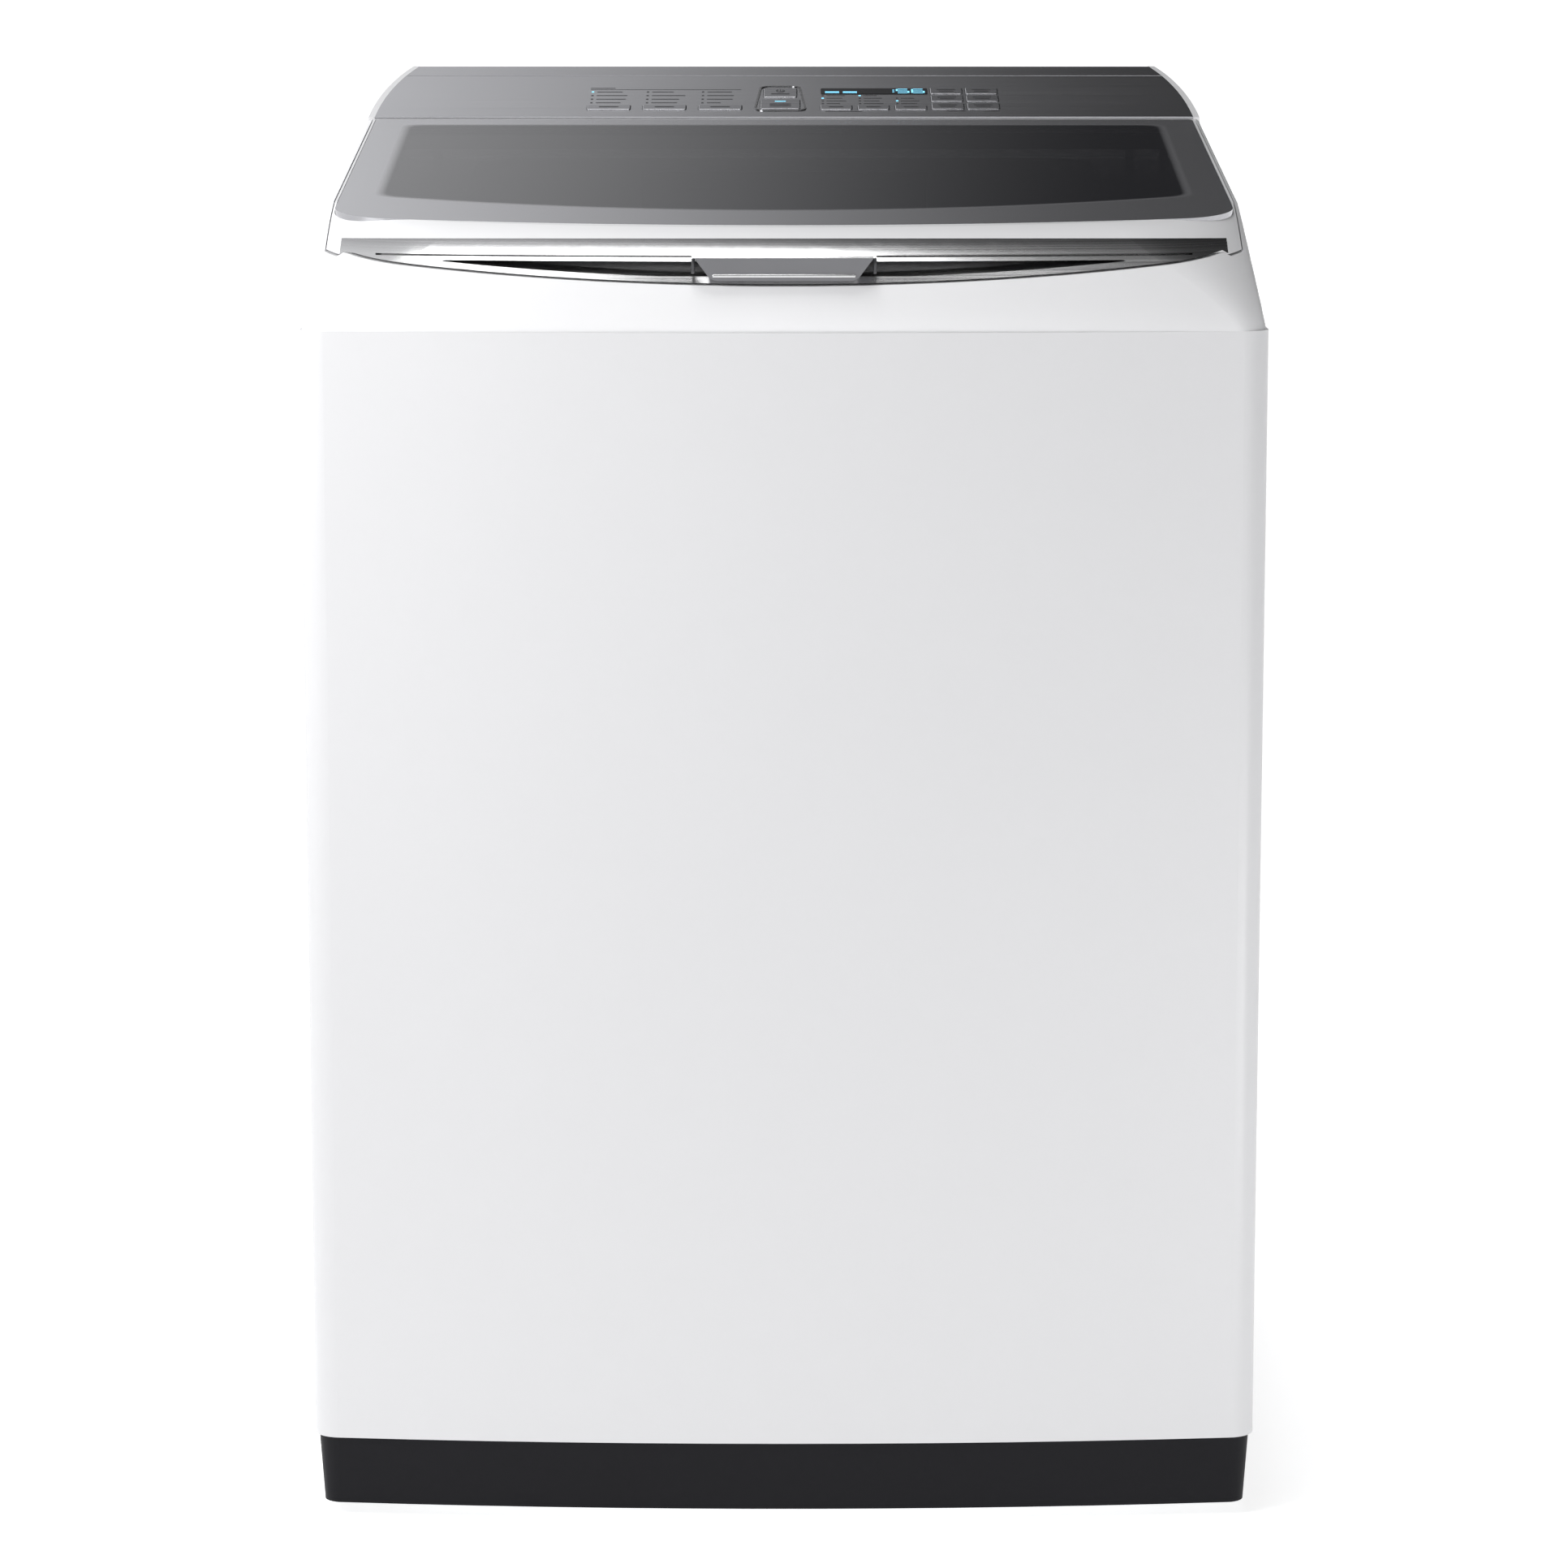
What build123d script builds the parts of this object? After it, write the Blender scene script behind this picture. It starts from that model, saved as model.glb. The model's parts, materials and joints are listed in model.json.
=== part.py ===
"""Top load washing machine, millimetres, +Z up, front towards -Y.

The origin is on the floor under the middle of the machine.  Each piece is written to
parts/ as its own STEP file.
"""
import os
from math import atan, cos, degrees, pi, radians, sin, sqrt, tan

from build123d import *

# ---------------------------------------------------------------- overall sizes
WIDTH = 686.0            # cabinet, side to side
DEPTH = 744.0            # bowed front to the console's rear edge
HALF_W = WIDTH / 2
HALF_D = DEPTH / 2
SEAM_Z = 867.0           # top of the steel cabinet
PANEL_Z = 61.0           # bottom of the steel cabinet
PLINTH_Z = 10.0          # bottom of the plinth
FRONT_BOW = 18.0         # how far the front bulges in plan
CORNER_R = 20.0          # front corners in plan
REAR_OVERHANG = 12.0     # console reaches this far behind the cabinet
SHEET = 1.2              # cabinet steel
FLANGE = 20.0            # turned-in edges of the cabinet

# ---------------------------------------------------------------- top cover and lid
NOSE_Z = 929.0           # lid plane carried forward to the front of the machine
LID_SLOPE = 6.5          # degrees, rising to the rear
NOSE_R = 75.0            # round nose in side view
COVER_STEP = 1.5         # cover sits inside the cabinet's outline
SIDE_LEAN = 11.0         # each side leans in by this much up to the top
NOSE_CORNER_R = 120.0    # front corners of the top in plan
NOSE_BOW = 42.0          # bow of the top's front edge
EDGE_R = 4.0             # rounded upper edge of the top
COVER_WALL = 3.0
LID_DEPTH = 30.0         # lid's nose, top to lower edge
DECK_DROP = LID_DEPTH + 1.5    # deck below the lid's top surface
END_RISE = 14.0          # lower edge of the nose rises by this much to its ends
LID_BODY = 20.0          # lid behind its nose, top to underside
LID_HALF_W = HALF_W - 15
LID_SIDE_GAP = 1.0
LID_REAR_Y = HALF_D - 186
CONSOLE_GAP = 9.0
LID_WALL = 3.2
LID_SKIN = 5.2           # nose of the lid, behind the bright band too
GLASS_T = 4.0
GLASS_LEDGE = 3.3
GLASS_FIT = 0.4
NOSE_BACK_Y = 74 - HALF_D      # where the deep nose of the lid ends

# lid glass and its clear window
GLASS_FRONT_Y = 77 - HALF_D
GLASS_BOW = 35.0
GLASS_HALF_W = LID_HALF_W - 2
GLASS_CORNER_R = 48.0
GLASS_RIM = 1.6
WINDOW_HALF_W = GLASS_HALF_W - 26
WINDOW_FRONT_Y = 137 - HALF_D
WINDOW_BOW = 62.0
WINDOW_REAR_Y = LID_REAR_Y - 29
WINDOW_CORNER_R = 12.0

# bright band, scoop and handle
TRIM_T = 3.0
TRIM_FIT = 0.2
TRIM_HALF_W = LID_HALF_W - 11
TRIM_TOP_Z = 930.5
TRIM_FALL = 0.06         # top edge drops this much per mm towards the rear
SCOOP_HALF_W = 244.0
SCOOP_LIP = 3.5          # band left under the scoop
SCOOP_Z = 910.5
SCOOP_H = 10.0
SCOOP_DEPTH = 10.0
SCOOP_WALL = 2.5
HANDLE_HALF_W = 63.0
HANDLE_FOOT_HALF_W = 51.0
HANDLE_Z = (903.0, 919.0)
HANDLE_PROUD = 7.0
HANDLE_CORNER_R = 9.0

# hinge
PIVOT_BACK = 2.0         # pivot in front of the lid's rear edge
PIVOT_DROP = 9.0         # pivot below the lid's top surface
PIN_R = 2.5
PIN_FIT = 0.05
BARREL_R = 4.4
HINGE_X = LID_HALF_W - 38
HINGE_HALF_W = 9.5
LUG_W = 7.0
HINGE_PLAY = 0.5
ARM_REACH = 16.5         # hinge arm, pivot to its front end
ARM_T = 2.8

# mouth of the top cover
MOUTH_HALF_W = 245.0
MOUTH_FRONT_Y = 110 - HALF_D
MOUTH_REAR_Y = LID_REAR_Y + 5
MOUTH_FRONT_R = 150.0
MOUTH_REAR_R = 40.0
COLLAR_Z = 872.0
LOCK_X = 205.0
LOCK_AHEAD = 30.0        # lock in front of the mouth

# ---------------------------------------------------------------- console
CONSOLE_SLOPE = 11.3     # degrees
CONSOLE_RISE = 1.0       # console's front edge above the lid
FOLD_Y = HALF_D - 36
TOP_Z = 1028.5
SIDE_ARC = (             # console's upper ends in plan
    (HALF_W - 11, HALF_D - 182), (HALF_W - 17, HALF_D - 106), (HALF_W - 35.5, HALF_D))
CONSOLE_WALL = 3.0
FASCIA_T = 3.0
FASCIA_RIM = 5.0
FOLD_LINE = 1.0
KEY_FIT = 0.4
KEY_PROUD = 0.6
KEY_T = 5.0
KEY_TRAVEL = 1.0
KEY_FLANGE = 0.6
BOARD_DROP = KEY_TRAVEL + 11.0    # board below the plate, clear of pressed keys
BOARD_T = 1.6
CONTROL_X = -3.0         # ring and its two keys sit this far off the middle

# ---------------------------------------------------------------- dispenser
DISPENSER_FRONT_Y = MOUTH_REAR_Y + 5.5
DISPENSER_REAR_Y = HALF_D - 20
DISPENSER_Z = 905.0
DRAWER_HALF_W = 113.6
DISPENSER_HALF_W = DRAWER_HALF_W + 86.4
DRAWER_Z = (918.5, 949.5)
DRAWER_FIT = 0.6
DRAWER_WALL = 2.5
DRAWER_DEPTH = 144.0
DRAWER_FACE_T = 4.5

# ---------------------------------------------------------------- tub, basket, drive
TUB_Y = -8.0
TUB_R = 300.0
TUB_WALL = 3.0
TUB_Z = (285.0, 845.0)
TUB_FLOOR = 5.0
TUB_COVER_T = 8.0
TUB_MOUTH_R = 236.0
BASKET_R = 278.0
BASKET_WALL = 1.5
BASKET_Z = (315.0, 828.0)
RING_R = BASKET_R - 38           # inside of the balance ring
RING_H = 38.0
RING_FIT = 0.2
HUB_R = 150.0
TUBE_R = 17.0
SHAFT_R = 10.0
SHAFT_FIT = 0.05
BEARING_R = 31.0
BEARING_W = 16.0
HOUSING_R = 42.0
HOUSING_Z = 215.0
HOUSING_FLANGE_R = 130.0
HOUSING_FLANGE_T = 6.0
PULSATOR_R = 200.0
PULSATOR_Z = 322.0
PULSATOR_T = 8.0
VANES = 6
ROTOR_R = 150.0
ROTOR_Z = (168.0, 212.0)
ROTOR_WALL = 4.0
STATOR_R = (45.0, 138.0)
STATOR_Z = 180.0
STATOR_TEETH = 18

# suspension
ROD_XY = 260.0           # rods stand this far from the tub's axis, each way
ROD_R = 5.0
ROD_PLAY = 1.4
LUG_Z = (320.0, 330.0)
WASHER_Z = (240.0, 245.0)
BRACE_Z = (850.0, 853.0)
SPRING_R = 17.0
SPRING_WIRE_R = 2.2
SPRING_TURNS = 5

# feet and base
FOOT_X = HALF_W - 58
FOOT_Y = (82 - HALF_D, HALF_D - 82)
FOOT_R = 22.0
FOOT_PAD_T = 14.0
STEM_R = 5.0
STEM_TOP = 95.0
STEM_FIT = 0.05
BASE_Z = 28.0
BASE_T = 2.5
BASE_INSET = 10.0
BASE_RAIL = 80.0
NUT_H = 6.0
PLINTH_INSET = (3.0, 6.5)
PLINTH_WALL = 3.0

# rear connections
INLET_X = (-110.0, -60.0)
INLET_Z = 820.0
INLET_R = 13.2
INLET_LENGTH = 12.0
DRAIN_POS = (-250.0, 760.0)
DRAIN_R = 16.0
CORD_POS = (250.0, 760.0)
CORD_BORE_R = 4.0
GLAND_R = 9.0

# ---------------------------------------------------------------- derived places
BACK_Y = HALF_D - REAR_OVERHANG
BIG = 1200.0
LID_TAN = tan(radians(LID_SLOPE))
CONSOLE_TAN = tan(radians(CONSOLE_SLOPE))
CONSOLE_Y = LID_REAR_Y + CONSOLE_GAP


def lid_z(y):
    """Height of the lid's top surface at y."""
    return NOSE_Z + LID_TAN * (y + HALF_D)


CONSOLE_Z = lid_z(LID_REAR_Y) + CONSOLE_RISE
FOLD_Z = CONSOLE_Z + CONSOLE_TAN * (FOLD_Y - CONSOLE_Y)
PIVOT_Y = LID_REAR_Y - PIVOT_BACK
PIVOT_Z = lid_z(PIVOT_Y) - PIVOT_DROP
CONSOLE_PLANE = Plane(
    origin=(0, CONSOLE_Y, CONSOLE_Z),
    x_dir=(1, 0, 0),
    z_dir=(0, -sin(radians(CONSOLE_SLOPE)), cos(radians(CONSOLE_SLOPE))),
)


# ---------------------------------------------------------------- helpers
def bowed_plan(half_w, front, bow, front_r, back, back_r, stretch=1.0):
    """Plan outline with an arched front and rounded corners; stretch lengthens it in y."""
    left, right = (-half_w, (front + bow) * stretch), (half_w, (front + bow) * stretch)
    rear_left, rear_right = (-half_w, back * stretch), (half_w, back * stretch)
    arch = ThreePointArc(left, (0, front * stretch), right)
    edges = [arch, Line(right, rear_right), Line(rear_right, rear_left), Line(rear_left, left)]
    face = make_face(edges)
    face = fillet(face.vertices().sort_by(Axis.Y)[:2], front_r)
    return fillet(face.vertices().sort_by(Axis.Y)[-2:], back_r)


def cabinet_plan(inset):
    """Cabinet outline, moved inwards by inset."""
    return bowed_plan(HALF_W - inset, inset - HALF_D, FRONT_BOW, max(CORNER_R - inset, 4),
                      BACK_Y - inset, 2)


def prism(face, low, high):
    return extrude(Pos(0, 0, low) * face, high - low)


def box(x, y, z):
    """Box from three (low, high) pairs."""
    size = [pair[1] - pair[0] for pair in (x, y, z)]
    centre = [(pair[0] + pair[1]) / 2 for pair in (x, y, z)]
    return Pos(*centre) * Box(*size)


def side_profile(points, half_w=BIG / 2):
    """Solid whose side view, in (y, z), is the given polygon."""
    loop = Polyline(*[(0, y, z) for y, z in points], close=True)
    return extrude(make_face(loop), half_w, dir=(1, 0, 0), both=True)


def lid_slab(low, high, front=-HALF_D - 30, back=HALF_D + 30):
    """Everything between two levels measured from the lid's top surface."""
    return side_profile([(front, lid_z(front) + low), (back, lid_z(back) + low),
                         (back, lid_z(back) + high), (front, lid_z(front) + high)])


def disc(radius, low, high, x=0.0, y=0.0):
    return Pos(x, y, (low + high) / 2) * Cylinder(radius, high - low)


def ring(outer, inner, low, high, x=0.0, y=0.0):
    return disc(outer, low, high, x, y) - disc(inner, low - 1, high + 1, x, y)


def joined(shapes):
    """Several solids as one group for a single file."""
    return Compound(children=[s for shape in shapes for s in shape.solids()])


# ---------------------------------------------------------------- form of the top
def nose_inset(level):
    """How far behind the front the nose lies, at a level from 0 (seam) to 1 (lid plane)."""
    centre_z = SEAM_Z - 5.2
    inset = 20.0
    for _ in range(30):
        z = SEAM_Z + level * (NOSE_Z - SEAM_Z + LID_TAN * inset)
        rise = min(z - centre_z, NOSE_R * 0.9935)
        inset = COVER_STEP + NOSE_R - sqrt(NOSE_R ** 2 - rise ** 2)
    return inset


def top_form(inset=0.0, edge_r=0.0):
    """Outer form of cover and lid together; inset gives the same form with a wall taken off."""
    sections = []
    for level in (0, 0.35, 0.65, 0.87, 1):
        slope = atan(level * LID_TAN)
        height = SEAM_Z + level * (NOSE_Z - SEAM_Z + LID_TAN * HALF_D)
        plane = Plane(origin=(0, 0, height), x_dir=(1, 0, 0), z_dir=(0, -sin(slope), cos(slope)))
        bow = 16 + (NOSE_BOW - 16) * level
        front_r = 22 + (NOSE_CORNER_R - 22) * level ** 1.5
        seam_w = HALF_W - COVER_STEP - inset
        half_w = seam_w - (SIDE_LEAN - COVER_STEP) * level
        outline = bowed_plan(half_w, nose_inset(level) - HALF_D, bow, front_r,
                             BACK_Y - 2 * inset, 12, 1 / cos(slope))
        sections.append(plane * outline)
    form = loft(sections)
    if edge_r:
        roof = form.faces().sort_by(Axis.Z)[-1]
        edges = [e for e in roof.edges() if e.center().Y < BACK_Y - 5]
        form = fillet(edges, edge_r)
    return Pos(0, inset, -inset) * form


def nose_arch(lift):
    """Everything above the lid's arched lower front edge, moved up by lift."""
    radius = (LID_HALF_W ** 2 + END_RISE ** 2) / (2 * END_RISE)
    z = lid_z(-HALF_D) - LID_DEPTH + lift + radius / cos(radians(LID_SLOPE))
    return Pos(0, -HALF_D, z) * Rot(LID_SLOPE + 90, 0, 0) * Cylinder(radius, 2 * BIG)


def glass_plan(grow=0.0):
    return bowed_plan(GLASS_HALF_W + grow, GLASS_FRONT_Y - grow, GLASS_BOW, GLASS_CORNER_R,
                      LID_REAR_Y - GLASS_RIM + grow, 3)


def window_plan(grow=0.0):
    return bowed_plan(WINDOW_HALF_W + grow, WINDOW_FRONT_Y - grow, WINDOW_BOW, WINDOW_CORNER_R,
                      WINDOW_REAR_Y + grow, WINDOW_CORNER_R)


def mouth_plan(grow=0.0):
    return bowed_plan(MOUTH_HALF_W + grow, MOUTH_FRONT_Y - grow, 10, MOUTH_FRONT_R + grow,
                      MOUTH_REAR_Y + grow, MOUTH_REAR_R + grow)


FORM = top_form(edge_r=EDGE_R)


# ---------------------------------------------------------------- cabinet
def cabinet_shell():
    shell = prism(cabinet_plan(0), PANEL_Z, SEAM_Z)
    shell -= prism(cabinet_plan(SHEET), PANEL_Z + SHEET, SEAM_Z - SHEET)
    shell -= prism(cabinet_plan(FLANGE), PANEL_Z - 1, SEAM_Z + 1)
    opening = HALF_W - FLANGE
    return shell - box((-opening, opening), (BACK_Y - 5, BACK_Y + 1),
                       (PANEL_Z + FLANGE, SEAM_Z - FLANGE))


def rear_panel():
    half_w, low, high = HALF_W - 6, PANEL_Z + 8, SEAM_Z - 6
    panel = box((-half_w, half_w), (BACK_Y, BACK_Y + SHEET), (low, high))
    rib_depth, rib_w = 3.0, 22.0
    for x in (-200, -100, 0, 100, 200):
        rib = ((x - rib_w, x + rib_w), (BACK_Y, BACK_Y + rib_depth + SHEET), (low + 60, high - 180))
        panel += box(*rib)
        panel -= box((x - rib_w + SHEET, x + rib_w - SHEET), (BACK_Y - 1, BACK_Y + rib_depth),
                     (low + 60 + SHEET, high - 180 - SHEET))
    for x, z in rear_screw_places():
        panel -= rear_hole(x, z, 2.2)
    for x in INLET_X:
        panel -= rear_hole(x, INLET_Z, INLET_R + 1)
    panel -= rear_hole(*DRAIN_POS, DRAIN_R + 1)
    return panel - rear_hole(*CORD_POS, GLAND_R + 0.5)


def rear_hole(x, z, radius, low=-20.0, high=30.0):
    """Cylinder along Y around the rear panel's plane."""
    middle = BACK_Y + (low + high) / 2
    return Pos(x, middle, z) * Rot(90, 0, 0) * Cylinder(radius, high - low)


def rear_screw_places():
    across = [-HALF_W + 14, HALF_W - 14]
    up = [PANEL_Z + 40, (PANEL_Z + SEAM_Z) / 2, SEAM_Z - 40]
    return [(x, z) for x in across for z in up]


def rear_screws():
    screws = []
    for x, z in rear_screw_places():
        head = rear_hole(x, z, 4.5, SHEET, SHEET + 2.6)
        shank = rear_hole(x, z, 2.0, 0, SHEET + 0.5)
        screws.append(head + shank)
    return joined(screws)


def plinth():
    def tapered(extra, over):
        top = Pos(0, 0, PANEL_Z + over) * cabinet_plan(PLINTH_INSET[0] + extra)
        bottom = Pos(0, 0, PLINTH_Z - over) * cabinet_plan(PLINTH_INSET[1] + extra)
        return loft([bottom, top])

    return tapered(0, 0) - tapered(PLINTH_WALL, 0.01)


def base_frame():
    frame = prism(cabinet_plan(BASE_INSET), BASE_Z, PANEL_Z)
    frame -= prism(cabinet_plan(BASE_INSET + BASE_T), BASE_Z - 1, PANEL_Z - BASE_T)
    frame -= prism(cabinet_plan(BASE_INSET + BASE_RAIL), BASE_Z - 1, PANEL_Z + 1)
    for x, y in foot_places():
        frame -= disc(STEM_R + 0.6, BASE_Z, PANEL_Z + 1, x, y)
    return frame


def foot_places():
    return [(x, y) for y in FOOT_Y for x in (-FOOT_X, FOOT_X)]


def foot(x, y):
    """Levelling foot: ribbed pad, hexagonal collar and stem."""
    pad = disc(FOOT_R, 0, FOOT_PAD_T, x, y)
    pad = chamfer(pad.edges().filter_by(GeomType.CIRCLE), 2)
    collar = prism(Pos(x, y) * RegularPolygon(11, 6), FOOT_PAD_T, FOOT_PAD_T + 7)
    return pad + collar + disc(STEM_R, FOOT_PAD_T, STEM_TOP, x, y)


def foot_nuts():
    nuts = []
    for x, y in foot_places():
        nut = prism(Pos(x, y) * RegularPolygon(10.5, 6), PANEL_Z - BASE_T - NUT_H, PANEL_Z - BASE_T)
        nuts.append(nut - disc(STEM_R + STEM_FIT, BASE_Z, PANEL_Z, x, y))
    return joined(nuts)


# ---------------------------------------------------------------- top cover
def hinge_lug(x):
    """Upright of the top cover that holds one end of a hinge pin."""
    low = lid_z(PIVOT_Y) - DECK_DROP - 1
    post = box((x - LUG_W / 2, x + LUG_W / 2), (PIVOT_Y - BARREL_R, PIVOT_Y + BARREL_R),
               (low, PIVOT_Z))
    eye = Pos(x, PIVOT_Y, PIVOT_Z) * Rot(0, 90, 0) * Cylinder(BARREL_R, LUG_W)
    bore = Pos(x, PIVOT_Y, PIVOT_Z) * Rot(0, 90, 0) * Cylinder(PIN_R, LUG_W + 2)
    return post + eye - bore


def lug_places():
    away = HINGE_HALF_W + HINGE_PLAY + LUG_W / 2
    return [side * HINGE_X + step for side in (-1, 1) for step in (-away, away)]


def top_cover():
    inside = LID_HALF_W + LID_SIDE_GAP
    rails = FORM & lid_slab(-DECK_DROP, 20, back=LID_REAR_Y + 2)
    rails -= box((-inside, inside), (-BIG, BIG), (SEAM_Z - 100, BIG))
    rim = (FORM - top_form(8)) & lid_slab(-DECK_DROP - 1, 0)
    rim &= box((-inside, inside), (-BIG, -HALF_D / 2), (0, BIG))
    behind = box((-BIG, BIG), (NOSE_BACK_Y - 1.5, BIG), (0, BIG))
    rim -= behind & lid_slab(-LID_BODY - 1.5, 1)
    rim -= nose_arch(LID_DEPTH - DECK_DROP) - behind
    cover = FORM & lid_slab(-200, -DECK_DROP)
    cover -= top_form(COVER_WALL) & lid_slab(-200, -DECK_DROP - COVER_WALL)
    wall = prism(mouth_plan(COVER_WALL), COLLAR_Z, SEAM_Z + 200)
    cover += wall & lid_slab(-200, -DECK_DROP)
    cover += rails
    cover += rim
    cover -= prism(mouth_plan(), SEAM_Z - 20, SEAM_Z + 300)
    slot_w = DRAWER_HALF_W + DRAWER_FIT
    cover -= box((-slot_w, slot_w), (MOUTH_REAR_Y - 20, MOUTH_REAR_Y + COVER_WALL + 1),
                 (DRAWER_Z[0] - DRAWER_FIT, DRAWER_Z[1] + DRAWER_FIT))
    for x in lug_places():
        cover += hinge_lug(x)
    return cover


def hinge_pins():
    length = 2 * (HINGE_HALF_W + HINGE_PLAY + LUG_W) + 1
    pin = Rot(0, 90, 0) * Cylinder(PIN_R, length)
    return joined([Pos(side * HINGE_X, PIVOT_Y, PIVOT_Z) * pin for side in (-1, 1)])


def lid_lock():
    x, y = LOCK_X, MOUTH_FRONT_Y - LOCK_AHEAD
    top = lid_z(y) - DECK_DROP - COVER_WALL - LID_TAN * 15
    body = box((x - 32, x + 32), (y - 12, y + 12), (top - 26, top - 0.2))
    return fillet(body.edges().filter_by(Axis.Z), 3)


# ---------------------------------------------------------------- console
def console_body(drop=0.0):
    """Console form above the deck, with its top lowered by drop."""
    points = [(CONSOLE_Y, lid_z(CONSOLE_Y) - DECK_DROP), (CONSOLE_Y, CONSOLE_Z - drop),
              (FOLD_Y, FOLD_Z - drop), (HALF_D, TOP_Z - drop), (HALF_D, TOP_Z - 16),
              (BACK_Y + 2, TOP_Z - 34), (BACK_Y + 2, lid_z(BACK_Y + 2) - DECK_DROP)]
    return side_profile(points, HALF_W + 20) & console_plan(0)


def console_hollow():
    """Room inside the console, above its floor and below the control board."""
    drop = FASCIA_T + BOARD_DROP + 3
    front, back = CONSOLE_Y + CONSOLE_WALL, BACK_Y + 2 - CONSOLE_WALL
    floor = CONSOLE_WALL - DECK_DROP
    points = [(front, lid_z(front) + floor), (front, CONSOLE_Z - drop), (FOLD_Y, FOLD_Z - drop),
              (back, TOP_Z - drop - 16), (back, lid_z(back) + floor)]
    return side_profile(points, HALF_W + 20) & console_plan(CONSOLE_WALL)


def console_plan(inset):
    """Ends of the console: straight where they stand on the cover, curved in at the top."""
    low, high = SEAM_Z + 80, TOP_Z + 2
    straight = [(HALF_W - 8.5, SIDE_ARC[0][1]), (HALF_W - 8.7, SIDE_ARC[1][1]),
                (HALF_W - 9.5, SIDE_ARC[2][1])]
    sections = []
    for height, places in ((low, straight), (high, SIDE_ARC)):
        right = ThreePointArc(*[(x - inset, y) for x, y in places])
        left = ThreePointArc(*[(inset - x, y) for x, y in places])
        loop = [right, Line(right @ 1, left @ 1), left, Line(left @ 0, right @ 0)]
        sections.append(Pos(0, 0, height) * make_face(loop))
    return loft(sections, ruled=True)


def console_housing():
    body = console_body() - console_hollow()
    body -= (console_body() - console_body(FASCIA_T)) & console_plan(FASCIA_RIM)
    return body - (fascia_area(-6) & console_slab(-FASCIA_T - BOARD_DROP - 8, 1))


def console_slab(low, high):
    """Everything between two levels measured along the console plane's normal."""
    span = 400
    return CONSOLE_PLANE * (Pos(0, 0, (low + high) / 2) * Box(2 * span, 2 * span, high - low))


def fascia_area(grow=0.0):
    """Solid standing on the flat of the console, inside its white rim."""
    margin = FASCIA_RIM - grow
    return console_plan(margin) & box((-BIG, BIG), (CONSOLE_Y + 2 - grow, FOLD_Y - FOLD_LINE + grow),
                                      (SEAM_Z, SEAM_Z + 300))


def console_fascia():
    plate = fascia_area() & (console_body() - console_body(FASCIA_T))
    for width, depth, x, v in key_sizes().values():
        plate -= console_block(width + 2 * KEY_FIT, depth + 2 * KEY_FIT, x, v, -10, 10)
    plate -= console_block(DISPLAY[0], DISPLAY[1], DISPLAY[2], DISPLAY[3], -1.8, 10)
    return plate - ring_shape(0.2, -1.2, 5)


def console_top_strip():
    strip = console_body() - console_body(FASCIA_T)
    strip &= console_plan(FASCIA_RIM)
    return strip & box((-BIG, BIG), (FOLD_Y + FOLD_LINE, HALF_D - 1.5), (SEAM_Z, SEAM_Z + 300))


def console_block(width, depth, x, v, low, high, radius=1.5):
    """Rounded block standing on the console plane; v is the distance up the slope."""
    face = Pos(x, v) * RectangleRounded(width, depth, radius)
    return CONSOLE_PLANE * (Pos(0, 0, low) * extrude(face, high - low))


def ring_face(grow=0.0):
    """Rounded trapezoid round the power and start keys, narrower at the rear."""
    front, rear, low, high = 21.5 + grow, 16.5 + grow, 21.0 - grow, 106.0 + grow
    loop = Polyline((CONTROL_X - front, low), (CONTROL_X + front, low), (CONTROL_X + rear, high),
                    (CONTROL_X - rear, high), close=True)
    face = make_face(loop)
    return fillet(face.vertices(), 9 + grow)


def ring_shape(grow, low, high):
    face = ring_face(grow) - ring_face(-1.6 - grow)
    return CONSOLE_PLANE * (Pos(0, 0, low) * extrude(face, high - low))


def power_ring():
    return ring_shape(0, -1.0, 0.8)


# width, depth, middle x, middle distance up the slope
DISPLAY = (87.0, 20.0, 73.5, 88.5)


def key_sizes():
    keys = {}
    for i, x in enumerate((-141.4, -96.5, -51.5)):
        keys[f"cycle_key_{i + 1}"] = (35.0, 15.0, x, 32.5)
    keys["power_key"] = (27.0, 29.0, CONTROL_X, 82.0)
    keys["start_key"] = (32.0, 32.0, CONTROL_X, 43.0)
    for i, x in enumerate((42.2, 72.3, 102.5)):
        keys[f"option_key_{i + 1}"] = (25.5, 15.0, x, 32.5)
    for row, v in enumerate((36.5, 63.0, 89.0)):
        for column, x in enumerate((132.3, 161.0)):
            keys[f"setting_key_{2 * row + column + 1}"] = (26.0, 20.0, x, v)
    return keys


def key(width, depth, x, v):
    """Key cap standing slightly proud, with a retaining flange under the plate."""
    cap = console_block(width, depth, x, v, -KEY_T, KEY_PROUD)
    top = cap.faces().sort_by(CONSOLE_PLANE.z_dir_axis if False else Axis.Z)[-1]
    cap = fillet(top.edges(), 0.5)
    grow = 2 * (KEY_FIT + KEY_FLANGE)
    return cap + console_block(width + grow, depth + grow, x, v, -KEY_T - 1, -FASCIA_T - 0.2)


def display_window():
    width, depth, x, v = DISPLAY
    return console_block(width - 0.4, depth - 0.4, x, v, -1.7, 0.3)


def control_board():
    low = -FASCIA_T - BOARD_DROP
    board = console_block(370, 96, 5, 62, low, low + BOARD_T)
    for x, v, width, depth, height in ((-120, 80, 30, 30, 3), (-60, 75, 18, 18, 2.5),
                                       (73.5, 88.5, 80, 16, 4), (150, 100, 20, 8, 4)):
        board += console_block(width, depth, x, v, low, low + BOARD_T + height, 0.5)
    for width, depth, x, v in key_sizes().values():
        board += console_block(6, 6, x, v, low, low + BOARD_T + 3, 0.5)
    return board


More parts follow.
